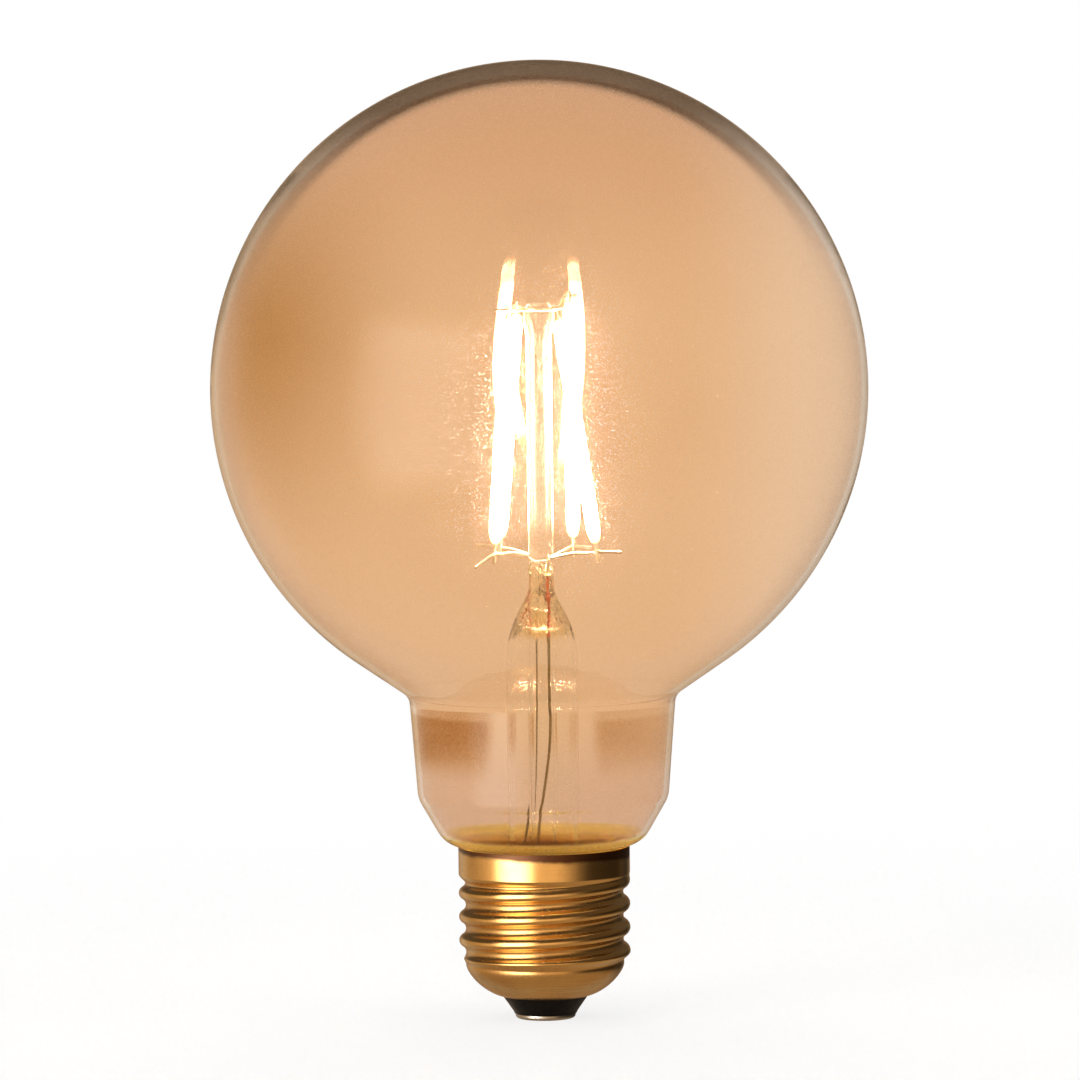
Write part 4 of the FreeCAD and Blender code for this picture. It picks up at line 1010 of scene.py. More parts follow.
def skin(name: str, loops: Sequence[Sequence[Ring]], segments: int) -> bpy.types.Object:
    """A closed glass body from skins of rings.

    Args:
        name: The piece's name.
        loops: Runs of rings that each start and end at a pole, or close on themselves. Downwards on the
            outside of the glass turns the faces outwards.
        segments: How many columns go round.

    Returns:
        The piece, with smooth faces.
    """
    points: list[Triple] = []
    faces: list[tuple[int, ...]] = []
    for loop in loops:
        rows = []
        for ring in loop:
            if ring.half_width < TINY:
                rows.append([len(points)])
                points.append((0.0, 0.0, ring.height * MM))
                continue
            rows.append(list(range(len(points), len(points) + segments)))
            turn = Matrix.Rotation(math.radians(ring.turn), 2)
            for i in range(segments):
                angle = 2 * math.pi * i / segments - math.radians(ring.turn)
                flat = turn @ Vector((ring.half_width * math.cos(angle), ring.half_depth * math.sin(angle)))
                points.append((flat.x * MM, flat.y * MM, ring.height * MM))
        if len(rows[0]) > 1:
            rows.append(rows[0])
        for upper, lower in zip(rows, rows[1:]):
            for i in range(segments):
                j = (i + 1) % segments
                if len(upper) == 1:
                    faces.append((lower[i], lower[j], upper[0]))
                elif len(lower) == 1:
                    faces.append((lower[0], upper[j], upper[i]))
                else:
                    faces.append((lower[i], lower[j], upper[j], upper[i]))
    mesh = bpy.data.meshes.new(name)
    mesh.from_pydata(points, [], faces)
    mesh.shade_smooth()
    mesh.update()
    return new_object(name, mesh)


class Recipe:
    """A geometry node tree with named inputs, which makes a mesh on an object and is then applied."""

    def __init__(self, name: str, inputs: dict[str, tuple[str, Value]]) -> None:
        """Starts the tree.

        Args:
            name: The tree's name.
            inputs: Socket type and default of each input, by name.
        """
        self.tree = bpy.data.node_groups.new(name, "GeometryNodeTree")
        face = self.tree.interface
        face.new_socket("Geometry", in_out="INPUT", socket_type="NodeSocketGeometry")
        face.new_socket("Geometry", in_out="OUTPUT", socket_type="NodeSocketGeometry")
        self.identifiers = {}
        for label, (kind, default) in inputs.items():
            socket = face.new_socket(label, in_out="INPUT", socket_type=f"NodeSocket{kind}")
            if default is not None:
                socket.default_value = default
            self.identifiers[label] = socket.identifier
        material = face.new_socket("Material", in_out="INPUT", socket_type="NodeSocketMaterial")
        self.identifiers["Material"] = material.identifier
        self.bench = Bench(self.tree)
        self.source = self.bench.add("NodeGroupInput")

    def given(self, label: str) -> Number:
        """An input of the tree as a Number."""
        return Number(self.bench, self.source.outputs[label])

    def end(self, geometry: Value) -> None:
        """Closes the tree: real meshes, the material, and out.

        Args:
            geometry: What the tree has made.
        """
        real = self.bench.add("GeometryNodeRealizeInstances", {"Geometry": geometry})
        dressed = self.bench.add(
            "GeometryNodeSetMaterial", {"Geometry": real, "Material": self.source.outputs["Material"]}
        )
        self.bench.add("NodeGroupOutput", {0: dressed})

    def make(
        self, name: str, look: Look, base: bpy.types.Object | None = None, **values: Value
    ) -> bpy.types.Object:
        """Runs the tree and keeps its result as a plain mesh.

        Args:
            name: The piece's name.
            look: Its finish.
            base: The object the tree works on, which is used up; a bare one where there is none.
            **values: Inputs by name, with underscores for spaces.

        Returns:
            The piece as a mesh object with no modifier.
        """
        base = base or new_object(name + "_base", bpy.data.meshes.new(name + "_base"))
        modifier = base.modifiers.new("recipe", "NODES")
        modifier.node_group = self.tree
        modifier[self.identifiers["Material"]] = look.value.material()
        for label, value in values.items():
            modifier[self.identifiers[label.replace("_", " ").capitalize()]] = value
        graph = bpy.context.evaluated_depsgraph_get()
        graph.update()
        mesh = bpy.data.meshes.new_from_object(base.evaluated_get(graph), depsgraph=graph)
        base.modifiers.remove(modifier)
        old = base.data
        bpy.data.objects.remove(base)
        if isinstance(old, bpy.types.Mesh):
            bpy.data.meshes.remove(old)
        else:
            bpy.data.curves.remove(old)
        mesh.name = name
        return new_object(name, mesh)


# The lamp's pieces


@dataclass
class GlassGlobe:
    """The blown amber globe with its neck and the spigot inside the cap, in millimetres."""

    radius: float = 50.0
    centre_height: float = 96.2
    side_wall: float = 0.95
    crown_wall: float = 1.9
    crown_arc_share: float = 0.06
    neck_top_radius: float = 20.1
    neck_foot_radius: float = 19.2
    neck_length: float = 11.6
    neck_foot_height: float = 34.9
    neck_wall: float = 0.8
    run_in_angle: float = 55.6
    neck_rounding: float = 2.5
    shoulder_rounding: float = 4.5
    cone_length: float = 4.9
    cone_lean: float = 30.0
    foot_rounding: float = 4.5
    spigot_rounding: float = 1.2
    spigot_radius: float = 11.35
    spigot_foot: float = 21.0
    segments: int = 192

    def crown(self, radius: float, crown_radius: float) -> list[Pair]:
        """Points from the crown to the equator, in two tangent arcs where the crown is lower.

        Args:
            radius: The skin's radius at the equator.
            crown_radius: The crown's height above the globe's centre.

        Returns:
            The points, with the crown first.
        """
        centre = self.centre_height
        top, equator = (0.0, centre + crown_radius), (radius, centre)
        flattening = radius - crown_radius
        if flattening < TINY:
            return [top, *arc((0.0, centre), top, equator, steps=60)]
        shift = self.crown_arc_share * radius
        drop = (shift**2 - (shift - flattening) ** 2) / (2 * (shift - flattening))
        lean = math.atan2(drop, shift)
        cap_radius = crown_radius + drop
        meeting = (cap_radius * math.cos(lean), centre - drop + cap_radius * math.sin(lean))
        return [
            top,
            *arc((0.0, centre - drop), top, meeting, steps=34),
            *arc((shift, centre), meeting, equator, steps=26),
        ]

    def profile(self, radius: float, crown_radius: float, inward: float) -> list[Pair]:
        """Points of one skin from the crown down to the spigot's foot.

        Args:
            radius: The skin's radius at the equator.
            crown_radius: The crown's height above the globe's centre.
            inward: How far the neck's skin lies inside the outer one.

        Returns:
            The points as radius and height.
        """
        centre = Vector((0.0, self.centre_height))
        slope = (self.neck_top_radius - self.neck_foot_radius) / self.neck_length
        outward = Vector((1.0, -slope)).normalized()
        foot = Vector((self.neck_foot_radius, self.neck_foot_height)) - outward * inward
        rounding = self.neck_rounding + inward
        run_in = math.radians(self.run_in_angle)
        run_outward = Vector((math.cos(run_in), -math.sin(run_in)))
        globe_end = centre + run_outward * radius
        reach, neck_reach = rounding + run_outward.dot(globe_end), rounding + outward.dot(foot)
        spread = run_outward.x * outward.y - run_outward.y * outward.x
        blend_x = reach * outward.y - run_outward.y * neck_reach
        blend_y = run_outward.x * neck_reach - outward.x * reach
        blend = Vector((blend_x, blend_y)) / spread
        run_end = blend - run_outward * rounding
        neck_top = blend - outward * rounding
        lean = math.radians(self.cone_lean)
        cone_out = Vector((math.cos(lean), -math.sin(lean)))
        cone_down = Vector((-math.sin(lean), -math.cos(lean)))
        shoulder = foot - outward * (self.shoulder_rounding - inward)
        cone_start = shoulder + cone_out * (self.shoulder_rounding - inward)
        cone_end = cone_start + cone_down * self.cone_length
        foot_rounding, tuck_rounding = self.foot_rounding - inward, self.spigot_rounding + inward
        shoulder_foot = cone_end - cone_out * foot_rounding
        spigot = self.spigot_radius - inward
        reach = foot_rounding + tuck_rounding
        tuck_x = spigot + tuck_rounding
        tuck = Vector((tuck_x, shoulder_foot.y - math.sqrt(reach**2 - (tuck_x - shoulder_foot.x) ** 2)))
        shoulder_end = shoulder_foot + (tuck - shoulder_foot).normalized() * foot_rounding
        return [
            *self.crown(radius, crown_radius),
            *arc(tuple(centre), (radius, centre.y), tuple(globe_end), steps=50),
            tuple(globe_end.lerp(run_end, 0.5)),
            tuple(run_end),
            *arc(tuple(blend), tuple(run_end), tuple(neck_top), steps=8),
            tuple(neck_top.lerp(foot, 0.33)),
            tuple(neck_top.lerp(foot, 0.67)),
            tuple(foot),
            *arc(tuple(shoulder), tuple(foot), tuple(cone_start), steps=6),
            tuple(cone_start.lerp(cone_end, 0.5)),
            tuple(cone_end),
            *arc(tuple(shoulder_foot), tuple(cone_end), tuple(shoulder_end), steps=8),
            *arc(tuple(tuck), tuple(shoulder_end), (spigot, tuck.y), steps=6),
            (spigot, self.spigot_foot),
        ]

    def build(self) -> list[bpy.types.Object]:
        """The globe as one body of glass with an outer and an inner skin.

        Returns:
            The one piece.
        """
        outer = self.profile(self.radius, self.radius, 0.0)
        inner = self.profile(self.radius - self.side_wall, self.radius - self.crown_wall, self.neck_wall)
        globe = skin("glass_globe_blown", [rings([*outer, *reversed(inner)])], self.segments)
        return [finished(globe, Look.AMBER_GLASS, "glass_globe")]


@dataclass
class GlassStem:
    """The clear glass that carries the filaments: flare, tube, press, exhaust tube and centre rod in one.

    Sizes are in millimetres. Each of the rings fields gives the first height of a straight wall's evenly
    spaced rings and their number.
    """

    tube_radius: float = 5.5
    tube_wall: float = 0.9
    flare_radius: float = 10.5
    flare_height: float = 21.0
    press_top: float = 69.8
    press_length: float = 15.3
    press_turn: float = -66.0
    press_sections: tuple[Triple, ...] = (
        (0.0, 5.5, 5.5), (0.19, 5.3, 5.2), (0.373, 4.7, 4.4), (0.542, 4.05, 3.1), (0.686, 3.75, 1.75),
        (0.778, 3.6, 1.35), (0.876, 3.6, 1.35), (0.948, 3.75, 1.6), (1.0, 3.4, 1.3),
    )
    ceiling_height: float = 60.0
    ceiling_radius: float = 3.0
    exhaust_radius: float = 2.2
    exhaust_wall: float = 0.7
    exhaust_tip: float = 17.5
    tip_thickening: float = 0.6
    throat_radius: float = 1.1
    throat_top: float = 62.6
    rod_radius: float = 1.9
    rod_foot_radius: float = 1.25
    rod_foot_neck: float = 0.45
    ledge: Pair = (0.02, 0.12)
    lip_depth: float = 1.28
    lip_inset: Pair = (0.12, 0.01)
    dome: tuple[Pair, ...] = ((4.5, 56.0), (4.25, 57.6), (3.85, 58.9), (3.4, 59.7))
    dome_neck: tuple[Pair, ...] = ((2.5, 60.05), (2.3, 59.9))
    ring_step: float = 4.0
    rod_rings: tuple[float, int] = (103.0, 8)
    tube_rings: tuple[float, int] = (53.0, 7)
    tube_bore_rings: tuple[float, int] = (30.0, 7)
    exhaust_rings: tuple[float, int] = (56.0, 9)
    exhaust_bore_rings: tuple[float, int] = (24.0, 9)
    pinch_sections: tuple[Triple, ...] = (
        (110.1, 0.0, 0.0), (110.07, 0.7, 0.45), (109.9, 1.35, 0.8), (109.6, 1.75, 1.0), (108.8, 2.3, 1.1),
        (107.0, 2.35, 1.15), (104.6, 1.9, 1.85), (103.6, 1.9, 1.9),
    )
    segments: int = 72

    def wall(self, radius: float, spacing: tuple[float, int], way: int) -> list[Pair]:
        """Evenly spaced points of a straight wall, upwards for a way of 1 and downwards for -1."""
        start, count = spacing
        return [(radius, start + way * self.ring_step * i) for i in range(count)]

    def rod(self) -> list[Ring]:
        """Rings of the rod from its melted top down to the press.

        Returns:
            The rings, from the pole on.
        """
        pinch = smooth_rings([Ring(*section) for section in self.pinch_sections], steps=5)
        swell = self.rod_radius - self.rod_foot_radius
        neck_top = self.press_top + self.rod_foot_neck
        full = neck_top + swell
        side = self.wall(self.rod_radius, self.rod_rings, -1)
        corner = (self.rod_foot_radius, full)
        foot = arc(corner, (self.rod_radius, full), (self.rod_foot_radius, neck_top), steps=6)
        out, up = self.ledge
        ledge = [(self.rod_foot_radius, self.press_top + up), (self.rod_foot_radius + out, self.press_top)]
        return [*pinch, *rings([*side, (self.rod_radius, full), *foot, *ledge])]

    def press(self) -> list[Ring]:
        """Rings of the press from its top down to the tube.

        Returns:
            The rings, turned with the press.
        """
        foot = self.press_top - self.press_length
        sections = [
            Ring(foot + share * self.press_length, width, depth, self.press_turn)
            for share, width, depth in reversed(self.press_sections)
        ]
        top = sections[0]
        middle = 0.5 * (self.rod_foot_radius + top.half_width)
        narrower, thinner = self.lip_inset
        lip = [
            Ring(self.press_top, middle, self.lip_depth, self.press_turn),
            Ring(self.press_top, top.half_width - narrower, top.half_depth - thinner, self.press_turn),
        ]
        return [*lip, *smooth_rings(sections, steps=6)]

    def tube(self) -> list[Ring]:
        """Rings of the tube: down its outside, round the flare, up its inside, and down the exhaust tube.

        Returns:
            The rings, down to the pole of the sealed tip.
        """
        bore = self.tube_radius - self.tube_wall
        flare = self.flare_radius - self.tube_radius
        turn_in = self.flare_height + self.tube_wall + flare
        corner = (self.flare_radius, turn_in)
        rim = (self.flare_radius, self.flare_height + self.tube_wall)
        outside = self.wall(self.tube_radius, self.tube_rings, -1)
        outer = arc(corner, (self.tube_radius, turn_in), rim, steps=10)
        inner = arc(corner, (self.flare_radius, self.flare_height), (bore, turn_in), steps=12)
        inside = self.wall(bore, self.tube_bore_rings, 1)
        dome = [*self.dome, (self.ceiling_radius, self.ceiling_height)]
        neck = [*self.dome_neck, (self.exhaust_radius, 59.5)]
        down = self.wall(self.exhaust_radius, self.exhaust_rings, -1)
        centre = self.exhaust_tip + self.exhaust_radius
        tip = arc((0.0, centre), (self.exhaust_radius, centre), (0.0, self.exhaust_tip), steps=10)
        return rings(
            [
                *outside, (self.tube_radius, turn_in), *outer, (self.flare_radius, self.flare_height), *inner,
                *inside, (bore, 54.5), *dome, *neck, *down, (self.exhaust_radius, centre), *tip[:-1],
                (0.0, self.exhaust_tip),
            ]
        )

    def bore(self) -> list[Ring]:
        """Rings of the air inside the exhaust tube, upwards.

        Returns:
            The rings, from pole to pole.
        """
        radius = self.exhaust_radius - self.exhaust_wall
        centre = self.exhaust_tip + self.exhaust_radius + self.tip_thickening
        floor = arc((0.0, centre), (0.0, centre - radius), (radius, centre), steps=8)
        up = self.wall(radius, self.exhaust_bore_rings, 1)
        throat = self.throat_radius
        top = [(radius, 59.0), (1.4, 59.6), (throat, 60.2), (throat, 61.8), (0.8, 62.4)]
        return rings([(0.0, centre - radius), *floor, *up, *top, (0.0, self.throat_top)])

    def build(self) -> list[bpy.types.Object]:
        """The whole stem as one body of clear glass.

        Returns:
            The one piece.
        """
        stem = skin("stem_glass", [[*self.rod(), *self.press(), *self.tube()], self.bore()], self.segments)
        return [finished(stem, Look.CLEAR_GLASS, "glass_stem", "exhaust_tube", "centre_rod")]


@dataclass
class ScrewShell:
    """The rolled brass cap: a tree that turns the thread's rule into one closed sheet."""

    wall: float = 0.25
    rim_height: float = 26.4
    crest_radius: float = 13.1
    root_radius: float = 12.05
    pitch: float = 3.629
    crest_height: float = 17.5
    collar_foot: float = 22.4
    run_out: float = 1.7
    bowl_top: Pair = (12.1, 8.4)
    bowl_hole: Pair = (6.7, 3.5)
    side_handle: float = 1.3
    floor_handle: float = 2.95
    floor_rise: float = 0.65
    side_share: float = 0.8
    rows: int = 168
    columns: int = 192

    def recipe(self) -> Recipe:
        """The tree: a grid whose rows run down the outer skin and back up the inner one.

        Returns:
            The finished tree.
        """
        sizes = {
            "Wall": self.wall, "Rim height": self.rim_height, "Crest radius": self.crest_radius,
            "Root radius": self.root_radius, "Pitch": self.pitch, "Crest height": self.crest_height,
            "Collar foot": self.collar_foot, "Run out": self.run_out, "Bowl radius": self.bowl_top[0],
            "Bowl top": self.bowl_top[1], "Hole radius": self.bowl_hole[0], "Hole height": self.bowl_hole[1],
            "Side handle": self.side_handle, "Floor handle": self.floor_handle, "Floor rise": self.floor_rise,
            "Side share": self.side_share,
        }
        inputs = {label: ("Float", size) for label, size in sizes.items()}
        counts = {"Rows": ("Int", self.rows), "Columns": ("Int", self.columns)}
        recipe = Recipe("rolled_thread", inputs | counts)
        bench, given = recipe.bench, recipe.given
        rows, columns = given("Rows"), given("Columns")
        grid = bench.add(
            "GeometryNodeMeshGrid",
            {"Size X": 1.0, "Size Y": 1.0, "Vertices X": columns + 1.0, "Vertices Y": rows * 2.0 + 1.0},
        )
        x, y, _ = bench.axes(bench.add("GeometryNodeInputPosition"))
        angle = (x + 0.5) * (2 * math.pi)
        row = ((y + 0.5) * rows * 2.0).nearest()
        inner = row.above(rows - 0.5) * (1.0 - row.above(rows * 2.0 - 0.5))
        last = row.above(rows * 2.0 - 0.5)
        share = inner.choose(rows * 2.0 - 1.0 - row, row) / (rows - 1.0) * (1.0 - last)
        inward = inner * given("Wall")
        radius, height = self.side(bench, given, angle, share, inward)
        bowl_radius, bowl_height = self.bowl(bench, given, share, inward)
        in_bowl = share.above(given("Side share") + 1e-4)
        radius = in_bowl.choose(bowl_radius, radius) * MM
        height = in_bowl.choose(bowl_height, height) * MM
        x, y = radius * angle.cosine(), radius * angle.sine()
        place = bench.add("ShaderNodeCombineXYZ", {0: x, 1: y, 2: height})
        sheet = bench.add("GeometryNodeSetPosition", {"Geometry": grid.outputs["Mesh"], "Position": place})
        closed = bench.add("GeometryNodeMergeByDistance", {"Geometry": sheet, "Distance": TINY})
        recipe.end(closed)
        return recipe

    @staticmethod
    def side(
        bench: Bench, given: Callable[[str], Number], angle: Number, share: Number, inward: Number
    ) -> tuple[Number, Number]:
        """Radius and height between the rim and the bowl: plain collar, thread and run-out.

        Args:
            bench: Not used.
            given: The tree's inputs.
            angle: The angle round the axis.
            share: The share of the way down the skin.
            inward: How far this skin lies inside the outer one.

        Returns:
            Radius and height in millimetres.
        """
        pitch, crest, root = given("Pitch"), given("Crest radius"), given("Root radius")
        rim, top = given("Rim height"), given("Bowl top")
        height = rim - (rim - top) * (share / given("Side share")).clipped()
        depth = crest - root
        bend = (pitch * pitch / 4.0 + depth * depth) / (4.0 * depth)
        turns = (height - given("Crest height")) / pitch - angle / (2 * math.pi)
        from_crest = (turns - turns.nearest()).size() * pitch
        crest_bend, root_bend = bend - inward, bend + inward
        rise = (crest_bend * crest_bend - from_crest * from_crest).maths("MAXIMUM", 0.0).root()
        on_crest = crest - bend + rise
        from_root = pitch / 2.0 - from_crest
        in_root = root + bend - (root_bend * root_bend - from_root * from_root).root()
        low = from_crest.above(pitch / 4.0 * crest_bend / bend)
        thread = low.choose(in_root, on_crest)
        run_out = given("Run out")
        collar = crest - inward
        radius = collar + (thread - collar) * ((given("Collar foot") - height) / run_out).eased()
        bowl = given("Bowl radius") - inward
        return bowl + (radius - bowl) * ((height - top) / run_out).eased(), height

    @staticmethod
    def bowl(
        bench: Bench, given: Callable[[str], Number], share: Number, inward: Number
    ) -> tuple[Number, Number]:
        """Radius and height in the rounded bottom, a curve with two handles.

        Args:
            bench: Not used.
            given: The tree's inputs.
            share: The share of the way down the skin.
            inward: How far this skin lies inside the outer one, square to the curve.

        Returns:
            Radius and height in millimetres.
        """
        side = given("Side share")
        t = ((share - side) / (1.0 - side)).clipped()
        u = 1.0 - t
        wide, narrow = given("Bowl radius"), given("Hole radius")
        top, floor = given("Bowl top"), given("Hole height")
        radii = [wide, wide, narrow + given("Floor handle"), narrow]
        heights = [top, top - given("Side handle"), floor + given("Floor rise"), floor]

        def at(values: Sequence[Number]) -> Number:
            """The curve's value."""
            ends = values[0] * u**3.0, values[3] * t**3.0
            return ends[0] + values[1] * u * u * t * 3.0 + values[2] * u * t * t * 3.0 + ends[1]

        def along(values: Sequence[Number]) -> Number:
            """The curve's direction."""
            first, second, third = (b - a for a, b in zip(values, values[1:]))
            return first * u * u + second * u * t * 2.0 + third * t * t

        run, rise = along(radii), along(heights)
        length = (run * run + rise * rise).root()
        return at(radii) + rise / length * inward, at(heights) - run / length * inward

    def build(self) -> list[bpy.types.Object]:
        """The shell as one closed sheet, with its two rims kept sharp.

        Returns:
            The one piece.
        """
        shell = self.recipe().make("screw_shell_rolled", Look.BRASS)
        shell.data.shade_smooth()
        shell.data.set_sharp_from_angle(angle=math.radians(50))
        return [finished(shell, Look.BRASS, "screw_shell")]


@dataclass
class Mount:
    """Where the filaments and wires meet, worked out from the same sizes as the CAD."""

    lower_weld: float = 71.65
    upper_weld: float = 108.8
    wire_radius: float = 0.25
    lead_radius: float = 0.2
    tab_thickness: float = 0.3
    weld_gap: float = 0.02
    past_weld: float = 0.9
    dip: float = 1.0
    level: float = 0.6
    knee_share: float = 0.42
    knee_drop: float = 0.2
    bow: float = 0.5
    rod_half_width: float = 2.35
    clear_of_rod: float = 0.6
    top_depth: float = 0.5
    seal_offset: float = 2.55
    press_turn: float = -66.0
    seal_foot: float = 58.6
    lower_gap: float = 1.5
    places: dict[str, tuple[Pair, Pair, float, float]] = field(
        default_factory=lambda: {
            "front_left": ((-7.0, -6.4), (-4.5, -3.7), 0.0, 1.2),
            "front_right": ((8.5, -6.2), (2.8, -4.1), 0.2, 1.7),
            "back_left": ((-6.3, 6.4), (-3.3, 4.0), 0.4, 1.0),
            "back_right": ((5.0, 6.4), (4.7, 3.6), 1.9, 0.8),
        }
    )
    cross_ends: dict[str, Triple] = field(
        default_factory=lambda: {
            "front_left": (-2.9, -1.8, -1.9),
            "front_right": (2.7, -1.3, 0.0),
            "back_left": (-3.4, 2.4, 0.1),
            "back_right": (2.9, 1.4, -0.4),
        }
    )
    top_ends: dict[str, Triple] = field(
        default_factory=lambda: {
            "front_left": (-1.9, -0.9, 0.05),
            "front_right": (1.3, -0.5, 0.3),
            "back_left": (-0.9, 0.7, 0.1),
            "back_right": (1.0, 0.6, 0.2),
        }
    )

    def low(self, corner: str) -> Vector:
        """The lower weld of a corner's filament."""
        return Vector((*self.places[corner][0], self.lower_weld))

    def high(self, corner: str) -> Vector:
        """The upper weld of a corner's filament."""
        _, place, rise, _ = self.places[corner]
        return Vector((*place, self.upper_weld + rise))

    def phosphor(self, corner: str) -> tuple[Vector, Vector]:
        """The two ends of a corner's phosphor bar.

        Args:
            corner: The filament's corner.

        Returns:
            The lower and the upper end.
        """
        low, high = self.low(corner), self.high(corner)
        axis = (high - low).normalized()
        return low + axis * self.lower_gap, high - axis * self.places[corner][3]

    def seal(self, end: str) -> Pair:
        """Plan position of the front or back seal wire.

        Args:
            end: Which wire, front or back.

        Returns:
            Its place in x and y.
        """
        reach = self.seal_offset if end == "front" else -self.seal_offset
        angle = math.radians(self.press_turn)
        return reach * math.cos(angle), reach * math.sin(angle)

    def wire_end(self, corner: str, weld: Vector, start: Vector, tail: Triple) -> list[Vector]:
        """The last points of a support wire: before its weld, past it, and its free end.

        Args:
            corner: The filament's corner.
            weld: The weld on the filament's axis.
            start: Where the wire comes from.
            tail: The free end, from the end of the straight run.

        Returns:
            Three points.
        """
        axis = (self.high(corner) - self.low(corner)).normalized()
        run = weld - start
        along = (run - axis * run.dot(axis)).normalized()
        inward = axis.cross(along)
        if inward.dot(Vector((weld.x, weld.y, 0.0))) > 0:
            inward = -inward
        place = weld + inward * (self.tab_thickness / 2 + self.weld_gap + self.wire_radius)
        past = place + along * self.past_weld
        return [place - along * self.past_weld, past, past + Vector(tail)]

    def cross_route(self, side: str) -> list[Vector]:
        """The route of a lower wire, from its front free end to its back one.

        Args:
            side: The lamp's side, left or right.

        Returns:
            The route's corners.
        """
        x, y = self.seal({"left": "back", "right": "front"}[side])
        beside = math.copysign(self.lead_radius + self.weld_gap + self.wire_radius, x)
        middle = Vector((x + beside, y, self.lower_weld - self.dip))
        halves = []
        for corner in ("front_" + side, "back_" + side):
            knee = middle.lerp(self.low(corner), self.knee_share)
            knee.x += math.copysign(self.bow, middle.x)
            knee.z = self.lower_weld - self.knee_drop
            halves.append([knee, *self.wire_end(corner, self.low(corner), knee, self.cross_ends[corner])])
        level = Vector((0.0, self.level / 2, 0.0))
        return [*reversed(halves[0]), middle - level, middle + level, *halves[1]]

    def top_route(self, row: str) -> list[Vector]:
        """The route of an upper wire, from its left free end to its right one.

        Args:
            row: Which wire, front or back.

        Returns:
            The route's corners.
        """
        halves = []
        for side, sign in (("left", -1), ("right", 1)):
            corner = f"{row}_{side}"
            x = sign * (self.rod_half_width + self.clear_of_rod)
            y = -self.top_depth if row == "front" else self.top_depth
            leaving = Vector((x, y, self.upper_weld))
            tail = self.top_ends[corner]
            halves.append([leaving, *self.wire_end(corner, self.high(corner), leaving, tail)])
        return [*reversed(halves[0]), *halves[1]]


@dataclass(frozen=True)
class Strand:
    """How one kind of wire is drawn, in millimetres: a bend takes a share of the run beside it."""

    radius: float
    bend_share: float
    step: float
    end_swell: float


